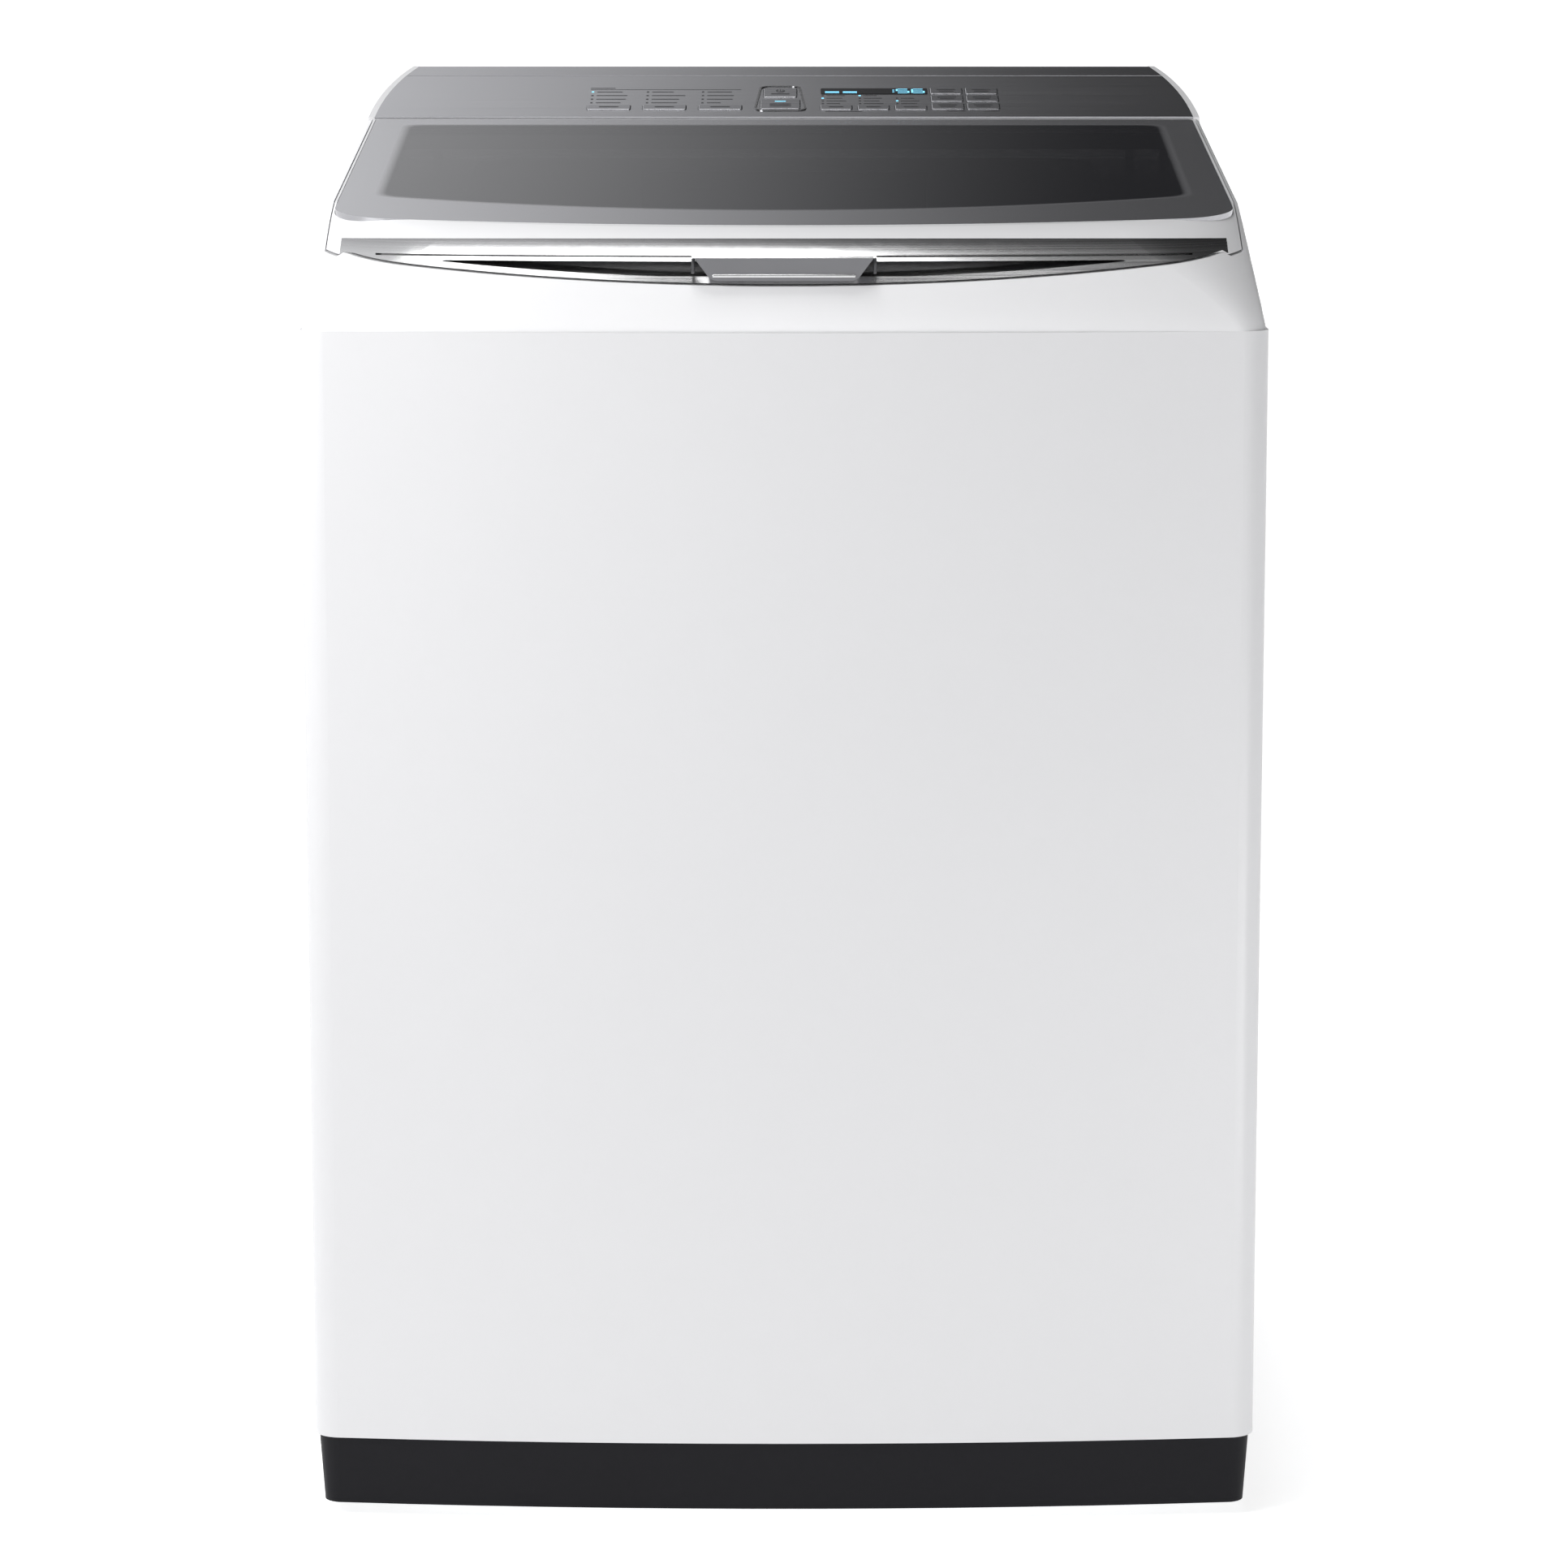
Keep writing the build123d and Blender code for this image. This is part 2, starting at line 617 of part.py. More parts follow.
# ---------------------------------------------------------------- dispenser and drawer
def dispenser_housing():
    half_w = DISPENSER_HALF_W
    body = box((-half_w, half_w), (DISPENSER_FRONT_Y, DISPENSER_REAR_Y), (DISPENSER_Z, SEAM_Z + 300))
    body &= lid_slab(-300, -DECK_DROP - COVER_WALL)
    bay = DRAWER_HALF_W + DRAWER_FIT
    body -= box((-bay, bay), (DISPENSER_FRONT_Y - 1, DISPENSER_REAR_Y - 3),
                (DRAWER_Z[0] - DRAWER_FIT, DRAWER_Z[1] + DRAWER_FIT))
    for side in (-1, 1):
        middle = side * (bay + half_w) / 2
        half = (half_w - bay) / 2 - 3
        body -= box((middle - half, middle + half), (DISPENSER_FRONT_Y + 3, DISPENSER_REAR_Y - 3),
                    (DISPENSER_Z - 1, DISPENSER_Z + 46))
    for x in (-60, 0, 60):
        body -= box((x - 12, x + 12), (DISPENSER_FRONT_Y + 20, DISPENSER_REAR_Y - 30),
                    (DISPENSER_Z - 1, DRAWER_Z[0]))
    return body


def detergent_drawer():
    low, high = DRAWER_Z
    front = MOUTH_REAR_Y + 0.5
    face = box((-DRAWER_HALF_W, DRAWER_HALF_W), (front, front + DRAWER_FACE_T), (low, high))
    face = fillet(face.edges().filter_by(Axis.Y).sort_by(Axis.Z)[-2:], 9)
    grip = box((-98, 98), (front - 1, front + 2.5), (low + 1.5, low + 5))
    half_w, back = DRAWER_HALF_W - 1.5, front + DRAWER_FACE_T + DRAWER_DEPTH
    tray = box((-half_w, half_w), (front + 2.5, back), (low + 0.5, high - 2))
    wall = DRAWER_WALL
    for left, right in ((-half_w + wall, -10), (-10 + wall, half_w - wall)):
        tray -= box((left, right), (front + DRAWER_FACE_T, back - wall), (low + 0.5 + wall, high))
    return tray + face - grip


# ---------------------------------------------------------------- lid
def trim_zone():
    """Region of the nose that the bright band covers."""
    front, back = -HALF_D - 5, NOSE_BACK_Y + 40
    zone = side_profile([(front, SEAM_Z), (back, SEAM_Z),
                         (back, TRIM_TOP_Z - TRIM_FALL * (back + HALF_D - 45)),
                         (front, TRIM_TOP_Z + TRIM_FALL * 45)])
    zone &= box((-TRIM_HALF_W, TRIM_HALF_W), (-BIG, BIG), (0, BIG))
    return zone & lid_slab(-LID_DEPTH, 1)


def scoop(grow, depth):
    """Finger scoop: a long slot sunk into the nose to an even depth."""
    slot = SlotOverall(2 * (SCOOP_HALF_W + grow), SCOOP_H + 2 * grow)
    bar = Pos(0, 0, SCOOP_Z) * Rot(90, 0, 0) * extrude(slot, HALF_D + 10)
    bar &= nose_arch(SCOOP_LIP - grow)
    return bar - top_form(depth) - box((-BIG, BIG), (NOSE_BACK_Y, BIG), (0, BIG))


def lid_form():
    lid = FORM & lid_slab(-LID_DEPTH, 20)
    lid &= box((-LID_HALF_W, LID_HALF_W), (-BIG, LID_REAR_Y), (0, BIG))
    lid -= box((-BIG, BIG), (-BIG, NOSE_BACK_Y), (0, BIG)) - nose_arch(0)
    return lid - lid_slab(-100, -LID_BODY, front=NOSE_BACK_Y)


def hinge_notch(x):
    """Room in the lid for one hinge, open below and behind."""
    half = HINGE_HALF_W + HINGE_PLAY + LUG_W + 1.5
    room = box((x - half, x + half), (PIVOT_Y - BARREL_R - 4, LID_REAR_Y + 5),
               (PIVOT_Z - 60, PIVOT_Z + 40))
    return room & lid_slab(-100, -GLASS_T)


def lid_frame(body):
    frame = body - (top_form(LID_SKIN) & lid_cavity())
    frame -= prism(glass_plan(GLASS_FIT), SEAM_Z, SEAM_Z + 300) & lid_slab(-GLASS_T, 30)
    frame -= prism(window_plan(4), SEAM_Z, SEAM_Z + 300)
    frame -= (body - top_form(TRIM_T + TRIM_FIT)) & trim_zone()
    frame -= scoop(SCOOP_WALL + TRIM_FIT, SCOOP_DEPTH + SCOOP_WALL + TRIM_FIT)
    reach = SCOOP_HALF_W + SCOOP_WALL
    frame -= box((-reach, reach), (-BIG, nose_front(SCOOP_Z) + SCOOP_DEPTH + 5), (0, SCOOP_Z))
    for side in (-1, 1):
        frame -= hinge_notch(side * HINGE_X)
    return frame


def lid_cavity():
    inner = LID_HALF_W - LID_WALL
    return box((-inner, inner), (-BIG, LID_REAR_Y - LID_WALL), (0, BIG)) & lid_slab(
        -100, -GLASS_T - GLASS_LEDGE)


def lid_glass():
    return prism(glass_plan(), SEAM_Z, SEAM_Z + 300) & lid_slab(-GLASS_T, 0)


def lid_inner_frame():
    inner = LID_HALF_W - LID_WALL - 0.4
    base = box((-inner, inner), (NOSE_BACK_Y + 8, PIVOT_Y - BARREL_R - 6), (SEAM_Z, BIG))
    plate = base & top_form(LID_SKIN + 0.5) & lid_slab(-LID_BODY, -LID_BODY + 3)
    upstand = prism(window_plan(8), SEAM_Z, SEAM_Z + 300) & lid_slab(
        -LID_BODY, -GLASS_T - GLASS_LEDGE - 0.2)
    return plate + upstand - prism(window_plan(5), SEAM_Z, SEAM_Z + 300)


def lid_trim(body):
    trim = (body - top_form(TRIM_T)) & trim_zone()
    liner = scoop(SCOOP_WALL, SCOOP_DEPTH + SCOOP_WALL) & body
    trim += liner
    trim -= scoop(0, SCOOP_DEPTH)
    groove = (body - top_form(1.2)) & groove_zone()
    return trim - groove


def groove_zone():
    """Thin line along the band above the scoop."""
    low, high = SCOOP_Z + 7.6, SCOOP_Z + 8.8
    zone = box((-290, 290), (-BIG, 0), (low, high))
    return zone - box((-HANDLE_HALF_W - 2, HANDLE_HALF_W + 2), (-BIG, 0), (0, BIG))


def lid_handle():
    low, high = HANDLE_Z
    loop = Polyline((-HANDLE_HALF_W, high), (HANDLE_HALF_W, high), (HANDLE_FOOT_HALF_W, low),
                    (-HANDLE_FOOT_HALF_W, low), close=True)
    face = make_face(loop)
    face = fillet(face.vertices().sort_by(Axis.Y)[:2], HANDLE_CORNER_R)
    grip = Rot(90, 0, 0) * extrude(face, HALF_D)
    front = nose_front(low) - HANDLE_PROUD
    grip &= box((-BIG, BIG), (front, NOSE_BACK_Y - 30), (0, BIG))
    return grip - FORM


def nose_front(z):
    """y of the nose at height z on the middle line."""
    return COVER_STEP + NOSE_R - sqrt(NOSE_R ** 2 - (z - SEAM_Z + 5.2) ** 2) - HALF_D


def hinge_arms():
    """Barrel round each pin, with a tongue screwed up under the lid's rear ledge."""
    arms = []
    top = -GLASS_T - GLASS_LEDGE
    for side in (-1, 1):
        x = side * HINGE_X
        barrel = Pos(x, PIVOT_Y, PIVOT_Z) * Rot(0, 90, 0) * Cylinder(BARREL_R, 2 * HINGE_HALF_W)
        tongue = box((x - HINGE_HALF_W, x + HINGE_HALF_W), (PIVOT_Y - ARM_REACH, PIVOT_Y),
                     (PIVOT_Z - 60, PIVOT_Z + 20))
        tongue &= lid_slab(top - ARM_T, top)
        bore = Pos(x, PIVOT_Y, PIVOT_Z) * Rot(0, 90, 0) * Cylinder(PIN_R + PIN_FIT, 60)
        arms.append(barrel + tongue - bore)
    return joined(arms)


# ---------------------------------------------------------------- tub
def rod_places():
    return [(x, TUB_Y + y) for x in (-ROD_XY, ROD_XY) for y in (-ROD_XY, ROD_XY)]


def outer_tub():
    low, high = TUB_Z
    tub = disc(TUB_R, low, high, 0, TUB_Y)
    tub -= disc(TUB_R - TUB_WALL, low + TUB_FLOOR, high + 1, 0, TUB_Y)
    for z in (420, 560, 700):
        tub += ring(TUB_R + 4, TUB_R - 1, z, z + 4, 0, TUB_Y)
    angle = degrees(pi / 4)
    reach = ROD_XY * sqrt(2)
    for turn in range(4):
        arm = box((TUB_R - 2, reach + 12), (-20, 20), LUG_Z)
        web = box((TUB_R - 2, reach - 14), (-3, 3), (LUG_Z[1], LUG_Z[1] + 40))
        tub += Pos(0, TUB_Y, 0) * Rot(0, 0, angle + 90 * turn) * (arm + web)
    for x, y in rod_places():
        tub -= disc(ROD_R + ROD_PLAY, LUG_Z[0] - 1, LUG_Z[1] + 1, x, y)
    return tub - disc(HOUSING_R + 0.3, low - 1, low + TUB_FLOOR + 1, 0, TUB_Y)


def tub_cover():
    high = TUB_Z[1]
    cover = ring(TUB_R + 3, TUB_MOUTH_R, high, high + TUB_COVER_T - 4, 0, TUB_Y)
    cover += ring(TUB_MOUTH_R + 4, TUB_MOUTH_R, high - 6, high + TUB_COVER_T, 0, TUB_Y)
    return cover + ring(TUB_R + 3, TUB_R + 0.3, high - 12, high, 0, TUB_Y)


def bearing_housing():
    low = TUB_Z[0]
    body = disc(HOUSING_FLANGE_R, low - HOUSING_FLANGE_T, low, 0, TUB_Y)
    body += disc(HOUSING_R, HOUSING_Z, low + TUB_FLOOR + 4, 0, TUB_Y)
    for turn in range(6):
        rib = box((HOUSING_R - 2, HOUSING_FLANGE_R - 8), (-3, 3), (HOUSING_Z + 25, low - 1))
        body += Pos(0, TUB_Y, 0) * Rot(0, 0, 60 * turn) * rib
    body -= disc(BEARING_R - 5, HOUSING_Z - 1, low + 50, 0, TUB_Y)
    for z in bearing_levels():
        body -= disc(BEARING_R + 0.02, z - 1, z + BEARING_W + 1, 0, TUB_Y)
    return body


def bearing_levels():
    return (HOUSING_Z + 5, TUB_Z[0] - BEARING_W)


def shaft_bearings():
    rings = [ring(BEARING_R, TUBE_R + SHAFT_FIT, z, z + BEARING_W, 0, TUB_Y)
             for z in bearing_levels()]
    return joined(rings)


def motor_stator():
    inner, outer = STATOR_R
    stator = ring(inner + 22, inner, STATOR_Z, HOUSING_Z, 0, TUB_Y)
    for i in range(STATOR_TEETH):
        tooth = box((inner + 20, outer - 4), (-5, 5), (STATOR_Z + 4, HOUSING_Z - 8))
        tip = box((outer - 5, outer), (-9, 9), (STATOR_Z + 2, HOUSING_Z - 6))
        stator += Pos(0, TUB_Y, 0) * Rot(0, 0, 360 / STATOR_TEETH * i) * (tooth + tip)
    return stator


def drain_pump():
    x, y = 165.0, TUB_Y - 175
    top = TUB_Z[0]
    pump = disc(36, top - 55, top, x, y) + disc(26, top - 95, top - 54, x, y)
    outlet = Pos(x + 46, y, top - 35) * Rot(0, 90, 0) * Cylinder(12, 40)
    return pump + outlet


def suspension_rods():
    rods = []
    for x, y in rod_places():
        rod = disc(ROD_R, WASHER_Z[0] - 8, BRACE_Z[1], x, y)
        washer = disc(SPRING_R + 4, *WASHER_Z, x, y)
        head = disc(11, BRACE_Z[1], BRACE_Z[1] + 6, x, y)
        rods.append(rod + washer + head)
    return joined(rods)


def spring(x, y):
    """Suspension spring between the rod's washer and the tub's arm."""
    low, high = WASHER_Z[1] + SPRING_WIRE_R + 0.3, LUG_Z[0] - SPRING_WIRE_R - 0.3
    path = Helix(pitch=(high - low) / SPRING_TURNS, height=high - low, radius=SPRING_R)
    wire = Plane(origin=path @ 0, z_dir=path % 0) * Circle(SPRING_WIRE_R)
    return Pos(x, y, low) * sweep(wire, path=path)


def suspension_springs():
    return joined([spring(x, y) for x, y in rod_places()])


def corner_braces():
    braces = []
    for x_side in (-1, 1):
        for y_side, edge in ((-1, HALF_D - 38), (1, BACK_Y - 4)):
            x = sorted((x_side * (ROD_XY - 18), x_side * (HALF_W - 5)))
            y = sorted((y_side * (ROD_XY - 18) + TUB_Y, y_side * edge))
            plate = box(x, y, BRACE_Z)
            rod_at = (x_side * ROD_XY, TUB_Y + y_side * ROD_XY)
            braces.append(plate - disc(ROD_R + 0.1, *BRACE_Z, *rod_at))
    return joined(braces)


# ---------------------------------------------------------------- basket and drive
def basket():
    low, high = BASKET_Z
    drum = disc(BASKET_R, low, high, 0, TUB_Y)
    drum = fillet(drum.edges().sort_by(Axis.Z)[0], 18)
    inner = disc(BASKET_R - BASKET_WALL, low + BASKET_WALL, high + 1, 0, TUB_Y)
    inner = fillet(inner.edges().sort_by(Axis.Z)[0], 18 - BASKET_WALL)
    return drum - inner - disc(TUBE_R + 3, low - 1, low + 10, 0, TUB_Y)


def basket_hub():
    low = BASKET_Z[0]
    hub = disc(HUB_R, low - 6, low, 0, TUB_Y) + disc(34, TUB_Z[0] + 10, low, 0, TUB_Y)
    for turn in range(3):
        arm = box((30, BASKET_R - 40), (-16, 16), (low - 12, low))
        hub += Pos(0, TUB_Y, 0) * Rot(0, 0, 120 * turn) * arm
    hub += disc(TUBE_R, HOUSING_Z + 1, low + BASKET_WALL + 1, 0, TUB_Y)
    return hub - disc(SHAFT_R + SHAFT_FIT, 100, 400, 0, TUB_Y)


def balance_ring():
    high = BASKET_Z[1]
    body = ring(BASKET_R - BASKET_WALL - RING_FIT, RING_R, high - RING_H, high, 0, TUB_Y)
    return fillet(body.edges().filter_by(GeomType.CIRCLE).group_by(SortBy.RADIUS)[0], 7)


def pulsator():
    low = PULSATOR_Z
    plate = disc(PULSATOR_R, low, low + PULSATOR_T, 0, TUB_Y)
    plate = fillet(plate.edges().sort_by(Axis.Z)[-1], 5)
    dome = Pos(0, TUB_Y, low + PULSATOR_T) * Cone(90, 45, 18, align=(Align.CENTER, Align.CENTER,
                                                                    Align.MIN))
    plate += dome
    for turn in range(VANES):
        fin = Pos(105, 0, low + PULSATOR_T) * Cone(22, 9, 22, align=(Align.CENTER, Align.CENTER,
                                                                    Align.MIN))
        blade = box((40, 178), (-8, 8), (low + 2, low + PULSATOR_T + 12))
        blade = fillet(blade.edges().filter_by(Axis.X).sort_by(Axis.Z)[-2:], 6)
        plate += Pos(0, TUB_Y, 0) * Rot(0, 0, 360 / VANES * turn) * (fin + blade)
    return plate - disc(SHAFT_R, low - 1, low + 12, 0, TUB_Y)


def pulsator_cap():
    low = PULSATOR_Z + PULSATOR_T + 18
    cap = disc(36, low, low + 7, 0, TUB_Y)
    return fillet(cap.edges().sort_by(Axis.Z)[-1], 5)


def wash_shaft():
    return disc(SHAFT_R, ROTOR_Z[0] - 14, PULSATOR_Z + 12, 0, TUB_Y)


def motor_rotor():
    low, high = ROTOR_Z
    cup = disc(ROTOR_R, low, high, 0, TUB_Y)
    cup -= disc(ROTOR_R - ROTOR_WALL, low + ROTOR_WALL, high + 1, 0, TUB_Y)
    for turn in range(8):
        slot = box((62, 118), (-12, 12), (low - 1, low + ROTOR_WALL + 1))
        cup -= Pos(0, TUB_Y, 0) * Rot(0, 0, 45 * turn) * slot
    cup += disc(24, low - 8, low + ROTOR_WALL + 4, 0, TUB_Y)
    return cup - disc(SHAFT_R, low - 20, high, 0, TUB_Y)


# ---------------------------------------------------------------- rear connections
def inlet_valve():
    """Two threaded inlets on one body behind the rear panel."""
    valve = box((INLET_X[0] - 22, INLET_X[1] + 22), (BACK_Y - 60, BACK_Y - 8),
                (INLET_Z - 20, INLET_Z + 20))
    valve = fillet(valve.edges().filter_by(Axis.Y), 6)
    for x in INLET_X:
        valve += rear_hole(x, INLET_Z, INLET_R, -10, INLET_LENGTH)
        valve -= rear_hole(x, INLET_Z, INLET_R - 3.5, -2, INLET_LENGTH + 1)
    return valve


def drain_port():
    x, z = DRAIN_POS
    port = rear_hole(x, z, DRAIN_R, -30, 11) + rear_hole(x, z, DRAIN_R + 8, -6, -0.2)
    return port - rear_hole(x, z, DRAIN_R - 3, -31, 12)


def cord_gland():
    x, z = CORD_POS
    gland = rear_hole(x, z, GLAND_R, -12, 8) + rear_hole(x, z, GLAND_R + 5, -4, -0.2)
    gland += rear_hole(x, z, GLAND_R + 3, SHEET + 0.2, 5)
    return gland - rear_hole(x, z, CORD_BORE_R, -20, 12)


# ---------------------------------------------------------------- writing
def all_parts():
    body = lid_form()
    parts = {
        "cabinet_shell": cabinet_shell(), "rear_panel": rear_panel(), "rear_screws": rear_screws(),
        "plinth": plinth(), "base_frame": base_frame(), "foot_nuts": foot_nuts(),
        "top_cover": top_cover(), "hinge_pins": hinge_pins(), "lid_lock": lid_lock(),
        "console_housing": console_housing(), "console_fascia": console_fascia(),
        "console_top_strip": console_top_strip(), "display_window": display_window(),
        "power_ring": power_ring(), "control_board": control_board(),
        "dispenser_housing": dispenser_housing(), "detergent_drawer": detergent_drawer(),
        "inlet_valve": inlet_valve(),
        "drain_port": drain_port(), "cord_gland": cord_gland(),
        "corner_braces": corner_braces(), "suspension_rods": suspension_rods(),
        "suspension_springs": suspension_springs(), "outer_tub": outer_tub(),
        "tub_cover": tub_cover(), "bearing_housing": bearing_housing(),
        "shaft_bearings": shaft_bearings(), "motor_stator": motor_stator(),
        "drain_pump": drain_pump(), "basket": basket(), "basket_hub": basket_hub(),
        "balance_ring": balance_ring(), "pulsator": pulsator(), "pulsator_cap": pulsator_cap(),
        "wash_shaft": wash_shaft(), "motor_rotor": motor_rotor(),
        "lid_frame": lid_frame(body), "lid_glass": lid_glass(),
        "lid_inner_frame": lid_inner_frame(), "lid_trim": lid_trim(body),
        "lid_handle": lid_handle(), "hinge_arms": hinge_arms(),
    }
    for name, size in key_sizes().items():
        parts[name] = key(*size)
    corners = ("front_left", "front_right", "rear_left", "rear_right")
    for name, place in zip(corners, foot_places()):
        parts[f"foot_{name}"] = foot(*place)
    return parts


def main():
    os.makedirs("parts", exist_ok=True)
    for name, shape in all_parts().items():
        solids = shape.solids()
        print(f"{name}: {len(solids)} solid(s), {shape.volume / 1000:.1f} cm3")
        export_step(shape, f"parts/{name}.step")


main()
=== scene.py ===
# %% [markdown]
# # A top load washing machine
#
# The cabinet, lid, console and everything that moves come from the CAD model.  This lesson
# loads them as a fixed frame, gives every surface its finish, and adds the small pieces
# that are easier to shape as meshes: printed marks, lamps, the punched basket, near-black
# blocks of painted shade in the handle's end pockets, bumpers under the lid.  Everything is
# in metres, with the front towards -Y.

# %% Load the frame
import json
from math import atan2, cos, degrees, pi, radians, sin, tan

import bmesh
import bpy
from mathutils import Matrix, Vector


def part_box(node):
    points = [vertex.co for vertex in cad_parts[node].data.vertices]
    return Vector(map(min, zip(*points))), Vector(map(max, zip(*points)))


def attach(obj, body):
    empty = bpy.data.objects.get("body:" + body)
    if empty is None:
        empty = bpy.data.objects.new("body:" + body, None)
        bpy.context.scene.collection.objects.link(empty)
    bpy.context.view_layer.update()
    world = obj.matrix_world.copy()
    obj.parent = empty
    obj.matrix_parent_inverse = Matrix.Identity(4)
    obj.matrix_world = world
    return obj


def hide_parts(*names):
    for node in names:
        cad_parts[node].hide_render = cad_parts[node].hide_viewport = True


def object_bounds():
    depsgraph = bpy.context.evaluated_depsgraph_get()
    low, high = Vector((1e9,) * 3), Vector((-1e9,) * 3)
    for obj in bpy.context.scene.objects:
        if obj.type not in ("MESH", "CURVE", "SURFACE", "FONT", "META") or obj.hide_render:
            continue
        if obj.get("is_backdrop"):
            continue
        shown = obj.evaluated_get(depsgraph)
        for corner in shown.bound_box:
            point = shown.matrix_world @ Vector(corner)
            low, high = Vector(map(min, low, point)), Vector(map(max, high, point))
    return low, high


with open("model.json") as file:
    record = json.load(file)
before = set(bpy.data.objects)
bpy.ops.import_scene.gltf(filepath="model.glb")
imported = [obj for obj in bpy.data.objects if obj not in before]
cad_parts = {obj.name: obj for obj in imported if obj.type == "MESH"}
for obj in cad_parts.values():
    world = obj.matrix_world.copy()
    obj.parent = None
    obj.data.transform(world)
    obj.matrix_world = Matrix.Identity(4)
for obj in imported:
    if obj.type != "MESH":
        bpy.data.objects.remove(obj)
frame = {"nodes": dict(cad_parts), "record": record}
cad_low, cad_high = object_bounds()
nodes = frame["nodes"]
joints = {joint["name"]: joint for joint in frame["record"]["behaviour"]["joints"]}
MM = 0.001
print("CAD box", [round(v, 4) for v in cad_high - cad_low], "nodes", len(nodes))


# %% [markdown]
# ## A class for shader maths
#
# A shader is a network of nodes, and wiring each of them by hand hides the formula.  Value
# wraps one socket and overloads the arithmetic, so `1 - mask` adds the Math node that works
# it out, and a finish can be read as the sum that it is.

# %% Value
class Value:
    def __init__(self, finish, socket):
        self.finish, self.socket = finish, socket

    def math(self, operation, *values):
        return self.finish.node("ShaderNodeMath", {"operation": operation}, *values)

    def __add__(self, other):
        return self.math("ADD", self, other)

    def __sub__(self, other):
        return self.math("SUBTRACT", self, other)

    def __rsub__(self, other):
        return self.math("SUBTRACT", other, self)

    def __mul__(self, other):
        return self.math("MULTIPLY", self, other)

    def __abs__(self):
        return self.math("ABSOLUTE", self)

    def __getitem__(self, name):
        return Value(self.finish, self.socket.node.outputs[name])

    def clamped(self):
        return self.math("MINIMUM", self.math("MAXIMUM", self, 0.0), 1.0)

    def smaller(self, other, blend=0.0):
        if blend:
            return self.math("SMOOTH_MIN", self, other, blend)
        return self.math("MINIMUM", self, other)

    __radd__ = __add__
    __rmul__ = __mul__


print("Value adds Math nodes for + - * abs, clamped and smaller")


# %% [markdown]
# ## A class for one material
#
# A new material already holds a Principled shader, which can be any metal, plastic or glass.
# Finish keeps that shader at hand and sets its sockets by name.  Its node method adds any
# other kind of node: it takes the node's type, its settings, and what its sockets get.  Every
# pattern starts from Object coordinates, so that it stays on a piece which moves.

# %% Finish
class Finish:
    def __init__(self, name, **settings):
        self.material = bpy.data.materials.new(name)
        self.material.use_nodes = True
        self.tree = self.material.node_tree
        self.shader = self.tree.nodes["Principled BSDF"]
        self.set(**settings)

    def set(self, **settings):
        for name, value in settings.items():
            self.feed(self.shader.inputs[name.replace("_", " ")], value)
        return self

    def feed(self, socket, value):
        if isinstance(value, Value):
            self.tree.links.new(value.socket, socket)
        elif hasattr(value, "__len__") and len(value) == 3 and socket.type == "RGBA":
            socket.default_value = (*value, 1)
        else:
            socket.default_value = value

    def node(self, kind, settings=None, *values, **named):
        made = self.tree.nodes.new(kind)
        for name, value in (settings or {}).items():
            setattr(made, name, value)
        for socket, value in zip(made.inputs, values):
            self.feed(socket, value)
        for name, value in named.items():
            self.feed(made.inputs[name.replace("_", " ")], value)
        return Value(self, made.outputs[0])

    def place(self, scale=(1, 1, 1), turn=(0, 0, 0), centre=(0, 0, 0)):
        """Object coordinates, moved, turned and scaled."""
        here = self.node("ShaderNodeTexCoord")["Object"]
        moved = self.node("ShaderNodeVectorMath", {"operation": "SUBTRACT"}, here, Vector(centre))
        return self.node("ShaderNodeMapping", None, moved, Rotation=turn, Scale=scale)

    def noise(self, where, scale, detail=3.0, roughness=0.5):
        return self.node("ShaderNodeTexNoise", None, Vector=where, Scale=scale, Detail=detail,
                         Roughness=roughness)

    def ranged(self, value, low, high, to_low, to_high):
        return self.node("ShaderNodeMapRange", None, value, low, high, to_low, to_high)

    def tint(self, amount, first, second):
        """Colour that goes from first to second as amount goes from 0 to 1."""
        made = self.tree.nodes.new("ShaderNodeMix")
        made.data_type = "RGBA"
        for name, value in (("Factor_Float", amount), ("A_Color", first), ("B_Color", second)):
            socket = next(s for s in made.inputs if s.identifier == name)
            self.feed(socket, value)
        return Value(self, next(s for s in made.outputs if s.identifier == "Result_Color"))

    def bump(self, height, strength, distance):
        made = self.node("ShaderNodeBump", None, Height=height, Strength=strength,
                         Distance=distance)
        return self.set(Normal=made)


print("Finish owns a material and its Principled shader")


# %% [markdown]
# ## White enamel and white mouldings
#
# The cabinet is steel with baked enamel: glossy, with the faint orange peel of sprayed paint.
# The cover and lid are moulded plastic in the same white, a little smoother, yet the enamel
# is given a darker grey than the mouldings: that is painted shade, since the upright front
# gets less light than the cover on top.  One flat white would look like paper, so orange peel
# is a soft noise a few millimetres across in the bump, and a wider noise moves the colour and
# the roughness.  A weak coat stands for the gloss.

# %% White finishes
def sprayed(name, colour, rough, peel, strength):
    finish = Finish(name, Metallic=0.0, IOR=1.5, Coat_Weight=0.25, Coat_Roughness=0.28)
    wide = finish.noise(finish.place(), 6.0, 2.0)
    fine = finish.noise(finish.place(), peel, 2.0)
    shade = tuple(0.985 * c for c in colour)
    finish.set(Base_Color=finish.tint(wide, shade, colour),
               Roughness=finish.ranged(wide, 0.3, 0.7, rough - 0.03, rough + 0.04))
    return finish.bump(fine, strength, 0.0004).material


# The enamel's darker grey than the mouldings' white is painted shade on the upright front.
white_enamel = sprayed("white_enamel", (0.67, 0.67, 0.68), 0.42, 260.0, 0.12)
white_moulding = sprayed("white_moulding", (0.84, 0.84, 0.85), 0.22, 120.0, 0.04)
print("white finishes:", white_enamel.name, white_moulding.name)


